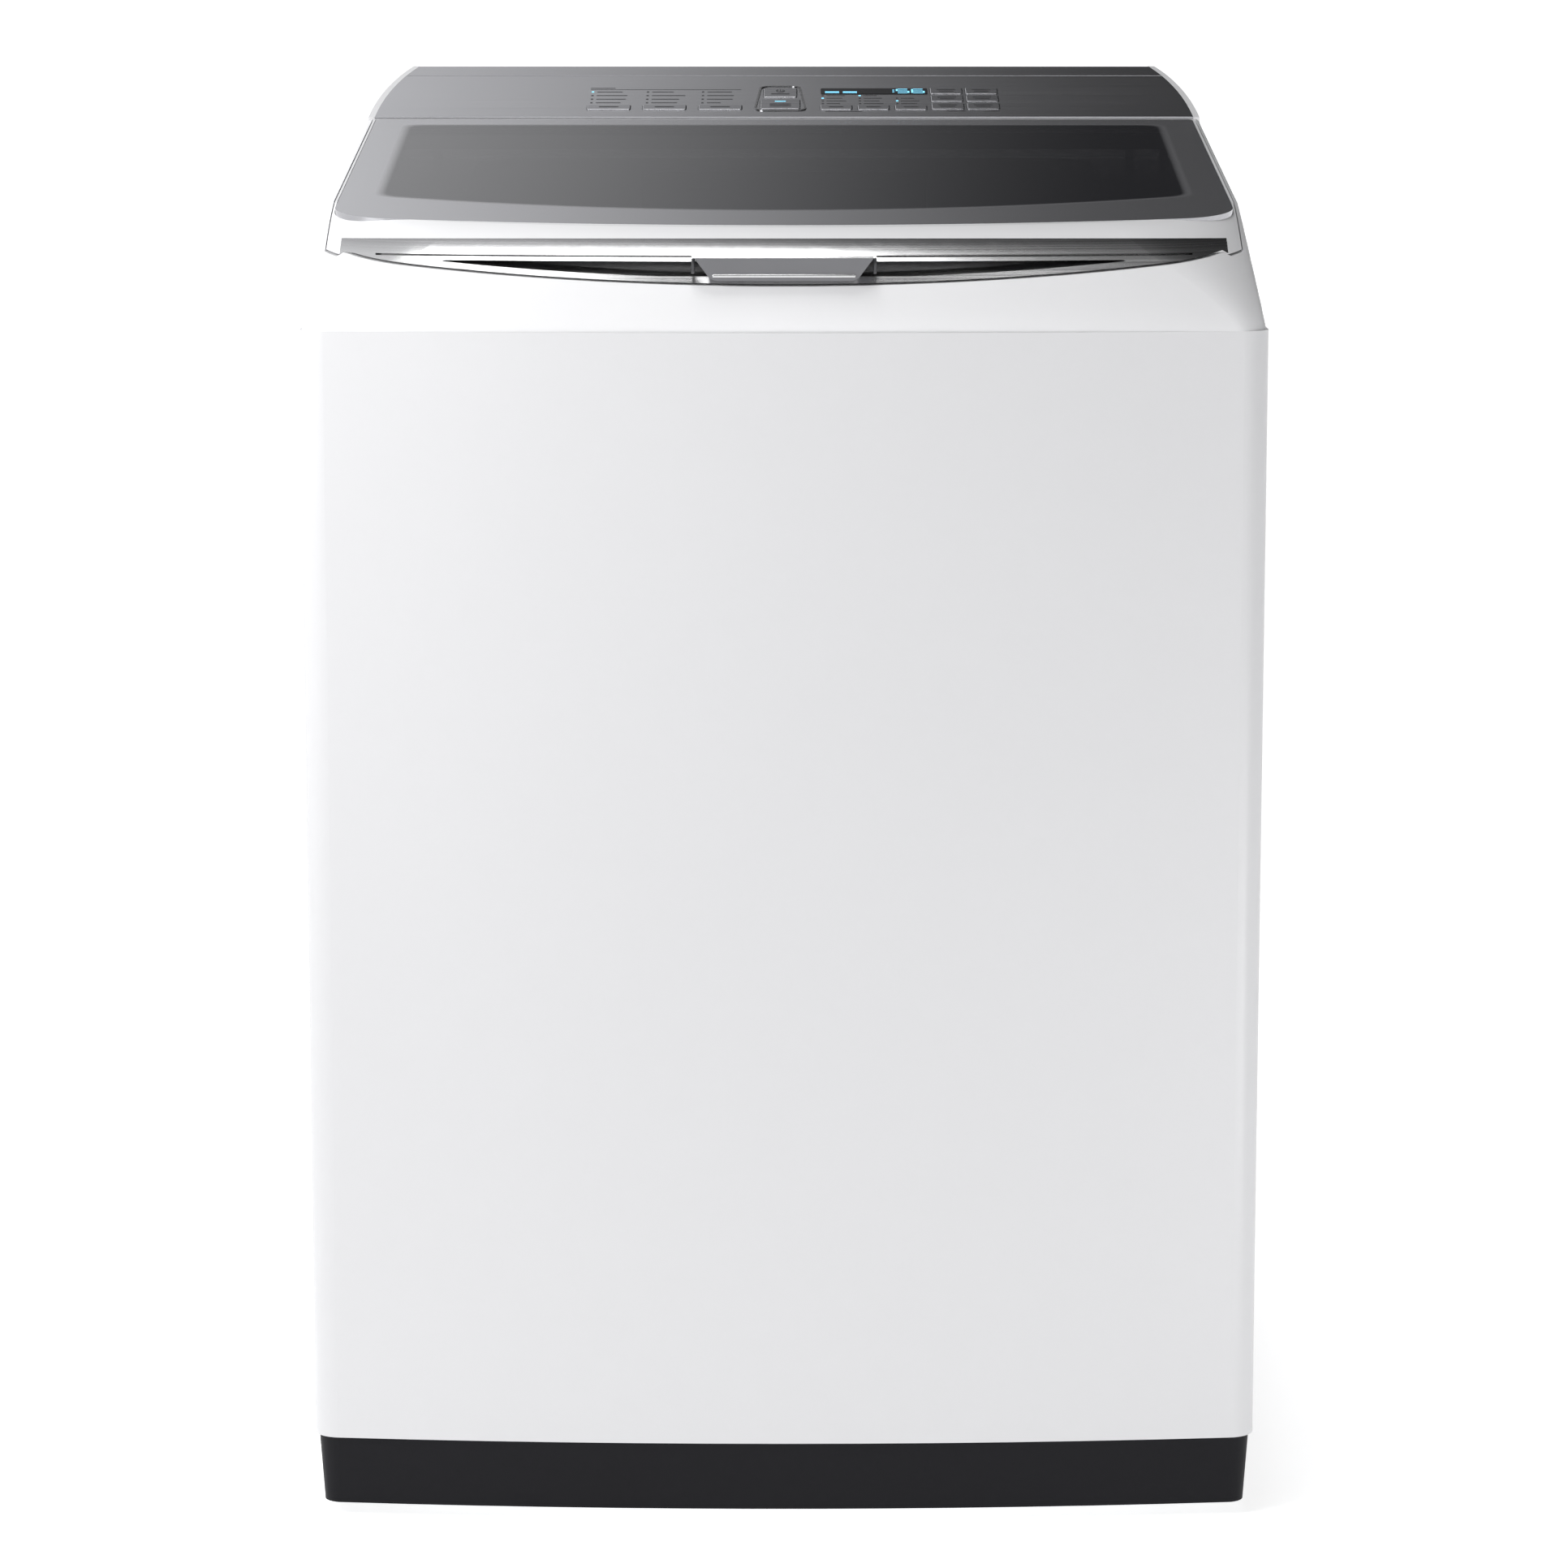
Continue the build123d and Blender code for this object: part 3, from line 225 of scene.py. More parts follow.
# %% [markdown]
# ## Brushed and plated metals
#
# Brushing leaves hair-thin streaks along one direction.  Object coordinates are stretched
# hard across the streaks and barely along them, so an ordinary noise becomes long fine lines
# that vary the colour, the roughness and a very small bump.  Plated parts use the same
# function with an even stretch, which leaves a grain with no direction.

# %% Brushed and plated metals
def brushed(name, dark, light, rough, along=(3, 900, 900), spread=0.10, strength=0.05, **more):
    finish = Finish(name, Metallic=1.0, **more)
    lines = finish.noise(finish.place(along), 1.0, 4.0, 0.65)
    cloud = finish.noise(finish.place(), 5.0, 2.0)
    mixed = (lines * 0.8 + cloud * 0.2).clamped()
    finish.set(Base_Color=finish.tint(finish.ranged(mixed, 0.3, 0.7, 0.0, 1.0), dark, light),
               Roughness=finish.ranged(lines, 0.3, 0.7, rough - spread / 2, rough + spread / 2))
    return finish.bump(lines, strength, 0.0002).material


console_metal = brushed("console_metal", (0.46, 0.46, 0.48), (0.58, 0.58, 0.60), 0.22,
                        spread=0.08)
# The top strip is the plate's brushed metal made a little darker, which is painted shade for its
# flatter slope.
shaded_strip_metal = brushed("shaded_strip_metal", (0.44, 0.44, 0.46), (0.54, 0.54, 0.56), 0.22,
                      spread=0.08)
key_metal = brushed("key_metal", (0.36, 0.36, 0.38), (0.46, 0.46, 0.48), 0.26, spread=0.06)
zinc = brushed("zinc_plated", (0.55, 0.56, 0.57), (0.72, 0.72, 0.72), 0.32, along=(60, 60, 60))
bearing_steel = brushed("ground_steel", (0.42, 0.42, 0.43), (0.60, 0.60, 0.61), 0.22,
                        along=(500, 500, 20))
spring_steel = brushed("spring_steel", (0.10, 0.10, 0.11), (0.18, 0.18, 0.19), 0.38,
                       along=(200, 200, 200))
winding_copper = brushed("winding_copper", (0.30, 0.10, 0.04), (0.52, 0.21, 0.09), 0.35,
                         along=(300, 300, 900), strength=0.4)
print("console metal:", console_metal.name, shaded_strip_metal.name, key_metal.name)


# %% [markdown]
# ## Zinc sheet and castings
#
# The back, the braces and the base are galvanised sheet, whose zinc sets in crystals about a
# centimetre across.  A Voronoi texture gives each cell its own random colour, and one channel
# of it is each crystal's grey.  The bearing housing and the hub are castings, with the fine
# grain of their mould in the bump.

# %% Zinc sheet and castings
def galvanised():
    """Zinc sheet: crystals a centimetre across, each with its own grey."""
    finish = Finish("galvanised_sheet", Metallic=1.0)
    crystals = finish.node("ShaderNodeTexVoronoi", None, Vector=finish.place(), Scale=70.0)
    grey = finish.node("ShaderNodeSeparateColor", None, crystals["Color"])
    finish.set(Base_Color=finish.tint(grey, (0.50, 0.52, 0.54), (0.66, 0.67, 0.68)),
               Roughness=finish.ranged(grey, 0.0, 1.0, 0.34, 0.50))
    return finish.bump(finish.noise(finish.place(), 90.0), 0.05, 0.0005).material


def cast_alloy():
    finish = Finish("cast_alloy", Metallic=1.0)
    grain = finish.noise(finish.place(), 500.0, 4.0)
    finish.set(Base_Color=finish.tint(grain, (0.48, 0.49, 0.50), (0.60, 0.60, 0.61)),
               Roughness=finish.ranged(grain, 0.3, 0.7, 0.42, 0.55))
    return finish.bump(grain, 0.25, 0.0005).material


galvanised_sheet = galvanised()
cast_metal = cast_alloy()
print("sheet and casting:", galvanised_sheet.name, cast_metal.name)


# %% [markdown]
# ## The bright band
#
# The band on the lid's front is polished, and it shows a dark room above its slit and a light
# floor below it.  A bare mirror would depend on what stands around it, so the darker part is
# put into the colour: a value that changes with height, with fine ridges over the upper part.

# %% The bright band
SLIT_SHARE = 0.62


def band_metal():
    """Bright band: darker and finely ridged above its slit, plain and light below it."""
    finish = Finish("band_metal", Metallic=1.0)
    low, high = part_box("lid_trim")
    height = finish.node("ShaderNodeSeparateXYZ", None, finish.place())["Z"]
    slit = low.z + SLIT_SHARE * (high.z - low.z)
    upper = finish.ranged(height, slit, high.z, 0.0, 1.0)
    ridges = finish.noise(finish.place((0.3, 0.3, 900)), 1.0, 2.0)
    lower = finish.ranged(height, low.z, slit, 0.70, 0.56)
    shade = (lower - upper * 0.30 + (ridges - 0.5) * 0.25 * upper.clamped()).clamped()
    finish.set(Base_Color=finish.tint(shade, (0.02, 0.02, 0.025), (1.0, 1.0, 1.0)),
               Roughness=finish.ranged(ridges, 0.3, 0.7, 0.20, 0.30))
    return finish.bump(ridges, 0.03, 0.0002).material


bright_band = band_metal()
print("band's slit at", SLIT_SHARE, "of its height")


# %% [markdown]
# ## The drum's steel
#
# A drum is rolled from brushed stainless sheet, so its streaks run round it.  Streaks along
# an axis would look wrong at the sides.  Here the pattern reads the angle about the drum's
# middle and the height, which a Combine XYZ node joins into the noise's own coordinates.

# %% The drum's steel
def drum_steel():
    """Stainless sheet brushed round the drum, so the streaks follow the angle."""
    finish = Finish("drum_steel", Metallic=1.0)
    middle = (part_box("basket")[0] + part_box("basket")[1]) / 2
    here = finish.node("ShaderNodeSeparateXYZ", None, finish.place(centre=middle))
    angle = here["Y"].math("ARCTAN2", here["Y"], here["X"])
    along = finish.node("ShaderNodeCombineXYZ", None, angle * 2.0, here["Z"] * 900.0, 0.0)
    lines = finish.noise(along, 1.0, 4.0)
    finish.set(Base_Color=finish.tint(lines, (0.52, 0.52, 0.53), (0.70, 0.70, 0.71)),
               Roughness=finish.ranged(lines, 0.3, 0.7, 0.22, 0.32))
    return finish.bump(lines, 0.04, 0.0002).material


drum_metal = drum_steel()
print("drum finish:", drum_metal.name)


# %% [markdown]
# ## Moulded plastics and rubber
#
# Moulds are spark-eroded, and the plastic carries their fine grain.  Modelled grain would
# cost millions of faces, so it is a tight noise in the bump, with a slow change in shade so
# that no face is one flat colour.

# %% Plastics
def moulded(name, colour, rough, grain=900.0, strength=0.2, coat=0.0, vary=0.12, sheen=0.5):
    finish = Finish(name, Metallic=0.0, Coat_Weight=coat, Coat_Roughness=0.1,
                    Specular_IOR_Level=sheen)
    fine = finish.noise(finish.place(), grain, 2.0)
    wide = finish.noise(finish.place(), 14.0, 3.0)
    light = tuple(min(1.0, c * (1 + vary)) for c in colour)
    dark = tuple(c * (1 - vary) for c in colour)
    finish.set(Base_Color=finish.tint(wide, dark, light),
               Roughness=finish.ranged(wide, 0.3, 0.7, rough - 0.04, rough + 0.05))
    return finish.bump(fine, strength, 0.0003).material


plinth_black = moulded("plinth_black", (0.011, 0.011, 0.013), 0.5, 1100.0, 0.15, sheen=0.1)
foot_black = moulded("foot_black", (0.02, 0.02, 0.02), 0.6, 500.0, 0.4)
port_black = moulded("port_black", (0.05, 0.05, 0.055), 0.45)
inner_grey = moulded("inner_grey", (0.20, 0.20, 0.215), 0.38, 700.0, 0.12)
tub_grey = moulded("tub_grey", (0.50, 0.51, 0.52), 0.5, 400.0, 0.3)
dispenser_grey = moulded("dispenser_grey", (0.09, 0.09, 0.097), 0.40, 800.0, 0.12)
drawer_grey = moulded("drawer_grey", (0.15, 0.15, 0.16), 0.30, 900.0, 0.08, 0.3)
pulsator_grey = moulded("pulsator_grey", (0.40, 0.42, 0.45), 0.32, 600.0, 0.08, 0.2)
smoky_grip = moulded("smoky_grip", (0.13, 0.13, 0.14), 0.18, 900.0, 0.03, 0.8)
# pocket shade: near-black glossy plastic that paints the shade in the handle's end pockets
pocket_shade = moulded("pocket_shade", (0.03, 0.03, 0.034), 0.15, 900.0, 0.03, 0.6)
board_green = moulded("board_green", (0.012, 0.07, 0.03), 0.35, 200.0, 0.3, 0.3, 0.3)
lens_black = moulded("lens_black", (0.004, 0.004, 0.005), 0.30, 900.0, 0.01, sheen=0.12)
dark_mark = moulded("dark_mark", (0.022, 0.022, 0.025), 0.4)
print("plastics and inks:", sum(m.name.endswith(("_black", "_grey", "_mark"))
                                for m in bpy.data.materials))


# %% [markdown]
# ## Lamps and segments
#
# A lit legend is a small block of plastic with a diode behind it.  It sends out its own
# colour, so it has to glow in the shader: a real light for each would be slow, and would show
# nothing on the block itself.

# %% Lamps
def lit(name, colour, strength):
    """A lamp or a segment: brightest in the middle of its grain, like a diffused diode."""
    finish = Finish(name, Base_Color=colour, Roughness=0.3, Emission_Strength=strength)
    glow = finish.noise(finish.place(), 800.0, 1.0)
    dim = tuple(0.75 * c for c in colour)
    return finish.set(Emission_Color=finish.tint(glow, dim, colour)).material


LAMP_GLOW = 1.2
cyan_lamp = lit("cyan_lamp", (0.20, 0.62, 0.85), LAMP_GLOW)
print("lamp glows at", LAMP_GLOW)


# %% [markdown]
# ## The lid's glass
#
# Tempered glass, smoked, with a grey border printed underneath that hides the frame.  The
# border is a mask worked out from the object's own coordinates: the distance to the nearest
# edge of the clear window, where the front edge is an arch and the corners are rounded by a
# smooth minimum.  The mask drives colour, metal, roughness and alpha of one shader.  Two
# meshes, one for the border and one for the window, would leave a hard line between them.

# %% Glass
glass_low, glass_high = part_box("lid_glass")
GLASS_T = 4 * MM
lid_rise = (glass_high.z - glass_low.z - GLASS_T) / (glass_high.y - glass_low.y)


def printed_glass():
    finish = Finish("printed_glass", IOR=1.5, Specular_IOR_Level=0.38)
    side, rear, front = 300 * MM, glass_high.y - 27 * MM, glass_low.y + 60 * MM
    arch = 62 * MM
    here = finish.node("ShaderNodeSeparateXYZ", None, finish.place())
    across = abs(here["X"])
    to_side = side - across - (rear - here["Y"]) * 0.006
    to_rear = rear - here["Y"]
    to_front = here["Y"] - front - across * across * (arch / side ** 2)
    inside = to_side.smaller(to_rear, 0.02).smaller(to_front, 0.02)
    window = finish.ranged(inside, -3.5 * MM, 4.5 * MM, 0.0, 1.0)
    speckle = finish.noise(finish.place(), 1500.0, 2.0)
    border = finish.tint(speckle, (0.40, 0.40, 0.42), (0.52, 0.52, 0.54))
    finish.set(Base_Color=finish.tint(window, border, (0.010, 0.010, 0.014)),
               Metallic=finish.ranged(window, 0.0, 1.0, 0.9, 0.0),
               Roughness=finish.ranged(window, 0.0, 1.0, 0.22, 0.05),
               Alpha=finish.ranged(window, 0.0, 1.0, 1.0, 0.80))
    return finish.material


glass_finish = printed_glass()
print("lid rises", round(lid_rise, 4), "per metre")


# %% [markdown]
# ## Finishes on the CAD pieces
#
# A CAD node keeps its shape, and only its material slot changes.  The frame already shades
# round pieces smoothly, so nothing else is touched.  One table from piece to finish is easier
# to check than an assignment after each piece.  The keys and the feet go by their names.

# %% Assign the finishes
FINISHES = {
    "cabinet_shell": white_enamel, "top_cover": white_moulding, "lid_frame": white_moulding,
    "console_housing": white_moulding, "plinth": plinth_black, "rear_panel": galvanised_sheet,
    "base_frame": galvanised_sheet, "corner_braces": galvanised_sheet, "rear_screws": zinc,
    "foot_nuts": zinc, "suspension_rods": zinc, "hinge_pins": zinc, "hinge_arms": zinc,
    "console_fascia": console_metal, "console_top_strip": shaded_strip_metal,
    "display_window": lens_black, "power_ring": bright_band, "control_board": board_green,
    "lid_lock": port_black, "inlet_valve": port_black, "drain_port": port_black,
    "cord_gland": port_black, "drain_pump": port_black, "dispenser_housing": dispenser_grey,
    "detergent_drawer": drawer_grey, "lid_glass": glass_finish, "lid_inner_frame": inner_grey,
    "lid_trim": bright_band, "lid_handle": smoky_grip, "outer_tub": tub_grey,
    "tub_cover": tub_grey, "balance_ring": tub_grey, "bearing_housing": cast_metal,
    "basket_hub": cast_metal, "shaft_bearings": bearing_steel, "wash_shaft": bearing_steel,
    "motor_stator": winding_copper, "motor_rotor": galvanised_sheet, "basket": drum_metal,
    "suspension_springs": spring_steel, "pulsator": pulsator_grey, "pulsator_cap": pulsator_grey,
}
for name, node in nodes.items():
    finish = FINISHES.get(name)
    if "key" in name:
        finish = key_metal
    if name.startswith("foot_") and name != "foot_nuts":
        finish = foot_black
    node.data.materials.clear()
    node.data.materials.append(finish)
print("finished", len(nodes), "CAD nodes")


# %% [markdown]
# ## From a bmesh to a piece
#
# A bmesh is a mesh being worked on.  It is filled with operators, then written to an object
# that stays at the origin, so that its place is in its vertices as it is for a CAD node.  The
# piece then rides on a body, which carries it along when that body moves.

# %% Finishing a piece
def finished(bm, name, material, body, smooth_angle=35.0):
    """Writes bm to a new object that rides on body."""
    bmesh.ops.recalc_face_normals(bm, faces=bm.faces)
    mesh = bpy.data.meshes.new(name)
    bm.to_mesh(mesh)
    bm.free()
    mesh.materials.append(material)
    piece = bpy.data.objects.new(name, mesh)
    bpy.context.collection.objects.link(piece)
    mesh.shade_smooth()
    mesh.set_sharp_from_angle(angle=radians(smooth_angle))
    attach(piece, body)
    return piece


print("a finished piece rides on its body")


# %% [markdown]
# ## Blocks
#
# A printed bar, a lip and an end cap are all a block with rounded edges.  The cube operator
# makes one of unit size, which is scaled, bevelled, and only then turned and put in place, so
# that the bevel is the same on every side.  A Python set of edges would come in another order
# each time the script runs, so edges_of keeps them in the order in which they are found.

# %% Blocks
def edges_of(verts):
    """Edges that meet these vertices, each once and in a fixed order."""
    return list(dict.fromkeys(e for v in verts for e in v.link_edges))


def add_block(bm, size, at, rounded=0.0, segments=2, turn=None):
    """Adds a block of a given size, centred at a point, with rounded edges."""
    made = bmesh.ops.create_cube(bm, size=1.0)["verts"]
    bmesh.ops.scale(bm, vec=size, verts=made)
    if rounded:
        result = bmesh.ops.bevel(bm, geom=edges_of(made), offset=rounded, segments=segments,
                                 profile=0.5, affect="EDGES", material=-1)
        made = list(dict.fromkeys(v for f in result["faces"] for v in f.verts))
    place = Matrix.Translation(at) @ (turn or Matrix())
    bmesh.ops.transform(bm, matrix=place, verts=made)


print("blocks are scaled, bevelled, then placed")


# %% [markdown]
# ## Rings and arcs
#
# Round marks are thin wires.  A small circle is spun about an axis: a whole turn is closed by
# merging its ends, and a part of a turn gets a face at each end.  The vertices of one ring
# are found by walking along its edges, because a bmesh may hold several rings.

# %% Rings
def add_ring(bm, radius, wire, at, turn, start=0.0, sweep=2 * pi, steps=24):
    """Adds a thin ring, or part of one, lying in the plane that turn gives."""
    made = bmesh.ops.create_circle(bm, segments=8, radius=wire)["verts"]
    edges = edges_of(made)
    whole = abs(sweep - 2 * pi) < 1e-6
    upright = Matrix.Rotation(start, 4, "Z") @ Matrix.Translation((radius, 0, 0))
    bmesh.ops.transform(bm, matrix=upright @ Matrix.Rotation(pi / 2, 4, "X"), verts=made)
    spun = bmesh.ops.spin(bm, geom=made + edges, cent=(0, 0, 0), axis=(0, 0, 1), angle=sweep,
                          steps=steps, use_merge=whole)
    ends = [v for v in spun["geom_last"] if isinstance(v, bmesh.types.BMVert)]
    verts = dict.fromkeys(made + ends)
    grow = list(verts)
    while grow:
        vert = grow.pop()
        for edge in vert.link_edges:
            other = edge.other_vert(vert)
            if other not in verts:
                verts[other] = None
                grow.append(other)
    if not whole:
        for loop in (made, ends):
            bmesh.ops.contextual_create(bm, geom=loop)
    bmesh.ops.transform(bm, matrix=Matrix.Translation(at) @ turn, verts=list(verts))


print("rings are spun from a circle of 8 points")


# %% [markdown]
# ## The console's slope
#
# The console leans back, and its marks have to lie on it.  Its slope comes from the direction
# that the keys travel in, and the height of a point on it from the plate's own box, so that
# marks follow the plate if it is moved or tilted.

# %% The console's slope
press = Vector(joints["power_key_press"]["axis"]).normalized()
console_tilt = atan2(press.y, -press.z)
plate_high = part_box("console_fascia")[1]
ON_CONSOLE = Matrix.Rotation(console_tilt, 4, "X")
MARK_T = 0.16 * MM


def on_console(x, y, up=0.0):
    """Point on the console's top surface at x, y."""
    z = plate_high.z - (plate_high.y - y) * tan(console_tilt)
    return Vector((x, y, z)) - press * up


def console_bar(bm, x, y, width, depth, up=0.0, rounded=0.0):
    add_block(bm, (width, depth, MARK_T), on_console(x, y, up + MARK_T * 0.4), rounded, 1,
              ON_CONSOLE)


print("console leans", round(degrees(console_tilt), 2), "degrees")


# %% [markdown]
# ## Cycle legends and lamps
#
# Over each of the three cycle keys stand four small square lamps, each with a printed name.
# Words are left out: a legend is a short bar of the length that a word would have.  Printed
# ink has almost no thickness, but a thin block keeps a true edge at any distance.

# %% Cycle legends
legends, lamps_off, lamps_on = bmesh.new(), bmesh.new(), bmesh.new()
LAMP = 1.9 * MM
LAMP_IN, LEGEND_IN = 4.0 * MM, 7.5 * MM
ROW_START, ROW_STEP = 7 * MM, 12.2 * MM
first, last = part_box("cycle_key_1"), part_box("cycle_key_3")
lamp_rows = [first[1].y + ROW_START + row * ROW_STEP for row in range(4)]
WORDS = ((26, 31, 30, 25), (22, 34, 28, 26), (25, 27, 26, 14))
WORD_SHARE = 0.8
for column in range(3):
    low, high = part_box(f"cycle_key_{column + 1}")
    for row, y in enumerate(lamp_rows):
        bm = lamps_on if (column, row) == (0, 3) else lamps_off
        console_bar(bm, low.x + LAMP_IN, y, LAMP, LAMP * 1.6)
        width = WORDS[column][3 - row] * MM * WORD_SHARE
        console_bar(legends, low.x + LEGEND_IN + width / 2, y, width, 1.5 * MM)
left, right = first[0].x, last[1].x
header_y = lamp_rows[-1] + 8 * MM
console_bar(legends, (left + right) / 2, header_y, right - left - 4 * MM, 0.35 * MM)
console_bar(legends, left + 12 * MM, header_y + 4.5 * MM, 20 * MM, 1.2 * MM)
print("rows of cycle lamps", len(lamp_rows))


# %% [markdown]
# ## Option legends and lamps
#
# Between the option keys and the display there is less room, so the rows are closer.  Their
# step is worked out from the gap, and it stays right if the display or the keys move.  Each
# column has one lamp lit.

# %% Option legends
def middle(node):
    low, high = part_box(node)
    return (low + high) / 2


OPTION_ROWS = (4, 4, 3)
LIT_OPTION = ((0, 2), (1, 3), (2, 1))
option_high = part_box("option_key_1")[1].y
display_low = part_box("display_window")[0].y
option_step = (display_low - option_high - 9 * MM) / 3
for column, rows in enumerate(OPTION_ROWS):
    low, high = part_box(f"option_key_{column + 1}")
    for row in range(rows):
        y = option_high + 4.5 * MM + row * option_step
        bm = lamps_on if (column, row) in LIT_OPTION else lamps_off
        console_bar(bm, low.x + 3.0 * MM, y, LAMP, LAMP * 1.4)
        width = (11, 16, 13, 15)[(row + column) % 4] * MM
        console_bar(legends, low.x + 6.0 * MM + width / 2, y, width, 1.3 * MM)
for name, width in (("option_key_1", 30), ("setting_key_1", 16), ("setting_key_2", 12)):
    spot = middle(name)
    console_bar(legends, spot.x + 6 * MM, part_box(name)[0].y - 4.5 * MM, width * MM, 1.2 * MM)
finished(legends, "console_legends", dark_mark, "cabinet")
finished(lamps_off, "console_lamps_off", dark_mark, "cabinet")
finished(lamps_on, "console_lamps_lit", cyan_lamp, "cabinet")
print("option rows are", round(option_step / MM, 2), "mm apart")

# %% [markdown]
# ## The display
#
# A smoked lens with lit segments under it: two rows of small blocks on the left, and the
# time left in seven-segment figures on the right.  A figure is a set of bars, picked from
# the seven by its number.  A text object would need a font, and would not look like segments.

# %% Display
SEGMENTS = {"5": "afgcd", "6": "afgedc"}
FIGURE_W, FIGURE_H, STROKE = 9.5 * MM, 12.5 * MM, 1.5 * MM


def add_figure(bm, figure, x, y, up):
    half_w, half_h = FIGURE_W / 2, FIGURE_H / 2
    bars = {"a": (0, half_h, 1), "g": (0, 0, 1), "d": (0, -half_h, 1),
            "f": (-half_w, half_h / 2, 0), "b": (half_w, half_h / 2, 0),
            "e": (-half_w, -half_h / 2, 0), "c": (half_w, -half_h / 2, 0)}
    for segment in SEGMENTS[figure]:
        dx, dy, flat = bars[segment]
        size = (FIGURE_W - STROKE, STROKE) if flat else (STROKE, half_h - STROKE * 0.3)
        console_bar(bm, x + dx, y + dy, *size, up=up)


lens_low, lens_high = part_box("display_window")
lens_y = (lens_low.y + lens_high.y) / 2
LENS_UP = 0.32 * MM
TIME_LEFT = "56"
FIGURE_IN, FIGURE_STEP, COLON_IN = 20 * MM, 12.5 * MM, 27.5 * MM
display = bmesh.new()
for index, figure in enumerate(TIME_LEFT):
    add_figure(display, figure, lens_high.x - FIGURE_IN + index * FIGURE_STEP, lens_y, LENS_UP)
for dy in (-3, 3):
    console_bar(display, lens_high.x - COLON_IN, lens_y + dy * MM, 1.6 * MM, 1.8 * MM, LENS_UP)
for index in range(2):
    for row in range(2):
        x = lens_low.x + (9 + 14.5 * index) * MM
        console_bar(display, x, lens_y - (2.5 + 3.2 * row) * MM, 11.5 * MM, 1.6 * MM, LENS_UP)
finished(display, "display_figures", cyan_lamp, "cabinet")
print("display shows", TIME_LEFT)

# %% [markdown]
# ## Marks on the keys
#
# A mark printed on a key travels with it, so each is a piece of its own on that key's body.
# Power has the usual broken circle, start has a lit bar over two short bars, and the rest
# carry a bar where a word would be.

# %% Key marks
KEY_UP = 0.62 * MM
keys = sorted(n for n in nodes if n.endswith("_key") or "_key_" in n)
for name in keys:
    low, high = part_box(name)
    spot, width = middle(name), high.x - low.x
    marks = bmesh.new()
    if name == "power_key":
        ring_at = on_console(spot.x, spot.y + 5 * MM, KEY_UP)
        add_ring(marks, 3.4 * MM, 0.35 * MM, ring_at, ON_CONSOLE, radians(120), radians(300))
        console_bar(marks, spot.x, spot.y + 8 * MM, 0.8 * MM, 5 * MM, KEY_UP)
        console_bar(marks, spot.x, spot.y - 5 * MM, 15 * MM, 2.4 * MM, KEY_UP)
    elif name == "start_key":
        for row in (-1, 1):
            console_bar(marks, spot.x, spot.y - (4 + 3 * row) * MM, 17 * MM, 2.4 * MM, KEY_UP)
        lamp = bmesh.new()
        console_bar(lamp, spot.x, spot.y + 8 * MM, 8.8 * MM, 1.6 * MM, KEY_UP)
        finished(lamp, "start_lamp", cyan_lamp, name)
    else:
        rows = 2 if name.startswith("setting") else 1
        for row in range(rows):
            dy = (row - (rows - 1) / 2) * 5.5 * MM
            console_bar(marks, spot.x, spot.y + dy, width * (0.42 + 0.12 * row), 1.9 * MM, KEY_UP)
    finished(marks, f"{name}_mark", dark_mark, name)
print("marked keys", len(keys))

# %% [markdown]
# ## The punched basket
#
# A wash basket is a stainless drum punched all over with small holes.  Real holes show
# against the dark tub, so they are cut: a grid is wrapped into a drum, each of its corners
# is bevelled into a small octagon, and those faces are deleted.  Solidify gives the sheet
# its thickness.

# %% Basket
drum_low, drum_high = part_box("basket")
drum_mid = (drum_low + drum_high) / 2
DRUM_R = (drum_high.x - drum_low.x) / 2
AROUND, UP = 132, 22
HOLE_R = 3.2 * MM
bm = bmesh.new()
WALL_R = DRUM_R - 2 * MM
bmesh.ops.create_cone(bm, cap_ends=False, segments=AROUND, radius1=WALL_R, radius2=WALL_R,
                      depth=drum_high.z - drum_low.z - 30 * MM)
upright = [e for e in bm.edges if abs(e.verts[0].co.z - e.verts[1].co.z) > 0.01]
bmesh.ops.subdivide_edges(bm, edges=upright, cuts=UP)
holes = [v for v in bm.verts if not v.is_boundary]
levels = sorted({round(v.co.z, 5) for v in holes})
index = {level: i for i, level in enumerate(levels)}
chosen = []
for vert in holes:
    turn = round(atan2(vert.co.y, vert.co.x) / (2 * pi) * AROUND)
    band = (turn % 22) in (0, 1)
    if (turn + index[round(vert.co.z, 5)]) % 2 == 0 and not band:
        chosen.append(vert)
cut = bmesh.ops.bevel(bm, geom=chosen, offset=HOLE_R, segments=2, profile=0.5, affect="VERTICES",
                      material=-1)
rims = [f for f in cut["faces"] if f.calc_area() < 4 * HOLE_R ** 2]
bmesh.ops.delete(bm, geom=rims, context="FACES_ONLY")
bmesh.ops.translate(bm, verts=bm.verts, vec=(drum_mid.x, drum_mid.y, drum_mid.z + 9 * MM))
wall_bottom = min(v.co.z for v in bm.verts)
print("drum holes", len(rims))


# %% [markdown]
# ## The basket's floor
#
# The floor is pressed from sheet: a rounded corner, a flat, and a hole in the middle for the
# hub.  A circle at the wall's foot is extruded inwards, and after each step its new points
# are set to the next radius and depth.

# %% The basket's floor
foot = bmesh.ops.create_circle(bm, cap_ends=False, segments=AROUND, radius=WALL_R)
bmesh.ops.translate(bm, verts=foot["verts"], vec=(drum_mid.x, drum_mid.y, wall_bottom))
edges = edges_of(foot["verts"])
PRESSING = ((DRUM_R - 6 * MM, 8), (DRUM_R - 18 * MM, 16), (60 * MM, 16.5), (22 * MM, 16.5))
for radius, drop in PRESSING:
    grown = bmesh.ops.extrude_edge_only(bm, edges=edges)["geom"]
    verts = [g for g in grown if isinstance(g, bmesh.types.BMVert)]
    edges = [g for g in grown if isinstance(g, bmesh.types.BMEdge)]
    for vert in verts:
        flat = Vector((vert.co.x - drum_mid.x, vert.co.y - drum_mid.y)).normalized() * radius
        vert.co = (drum_mid.x + flat.x, drum_mid.y + flat.y, wall_bottom - drop * MM)
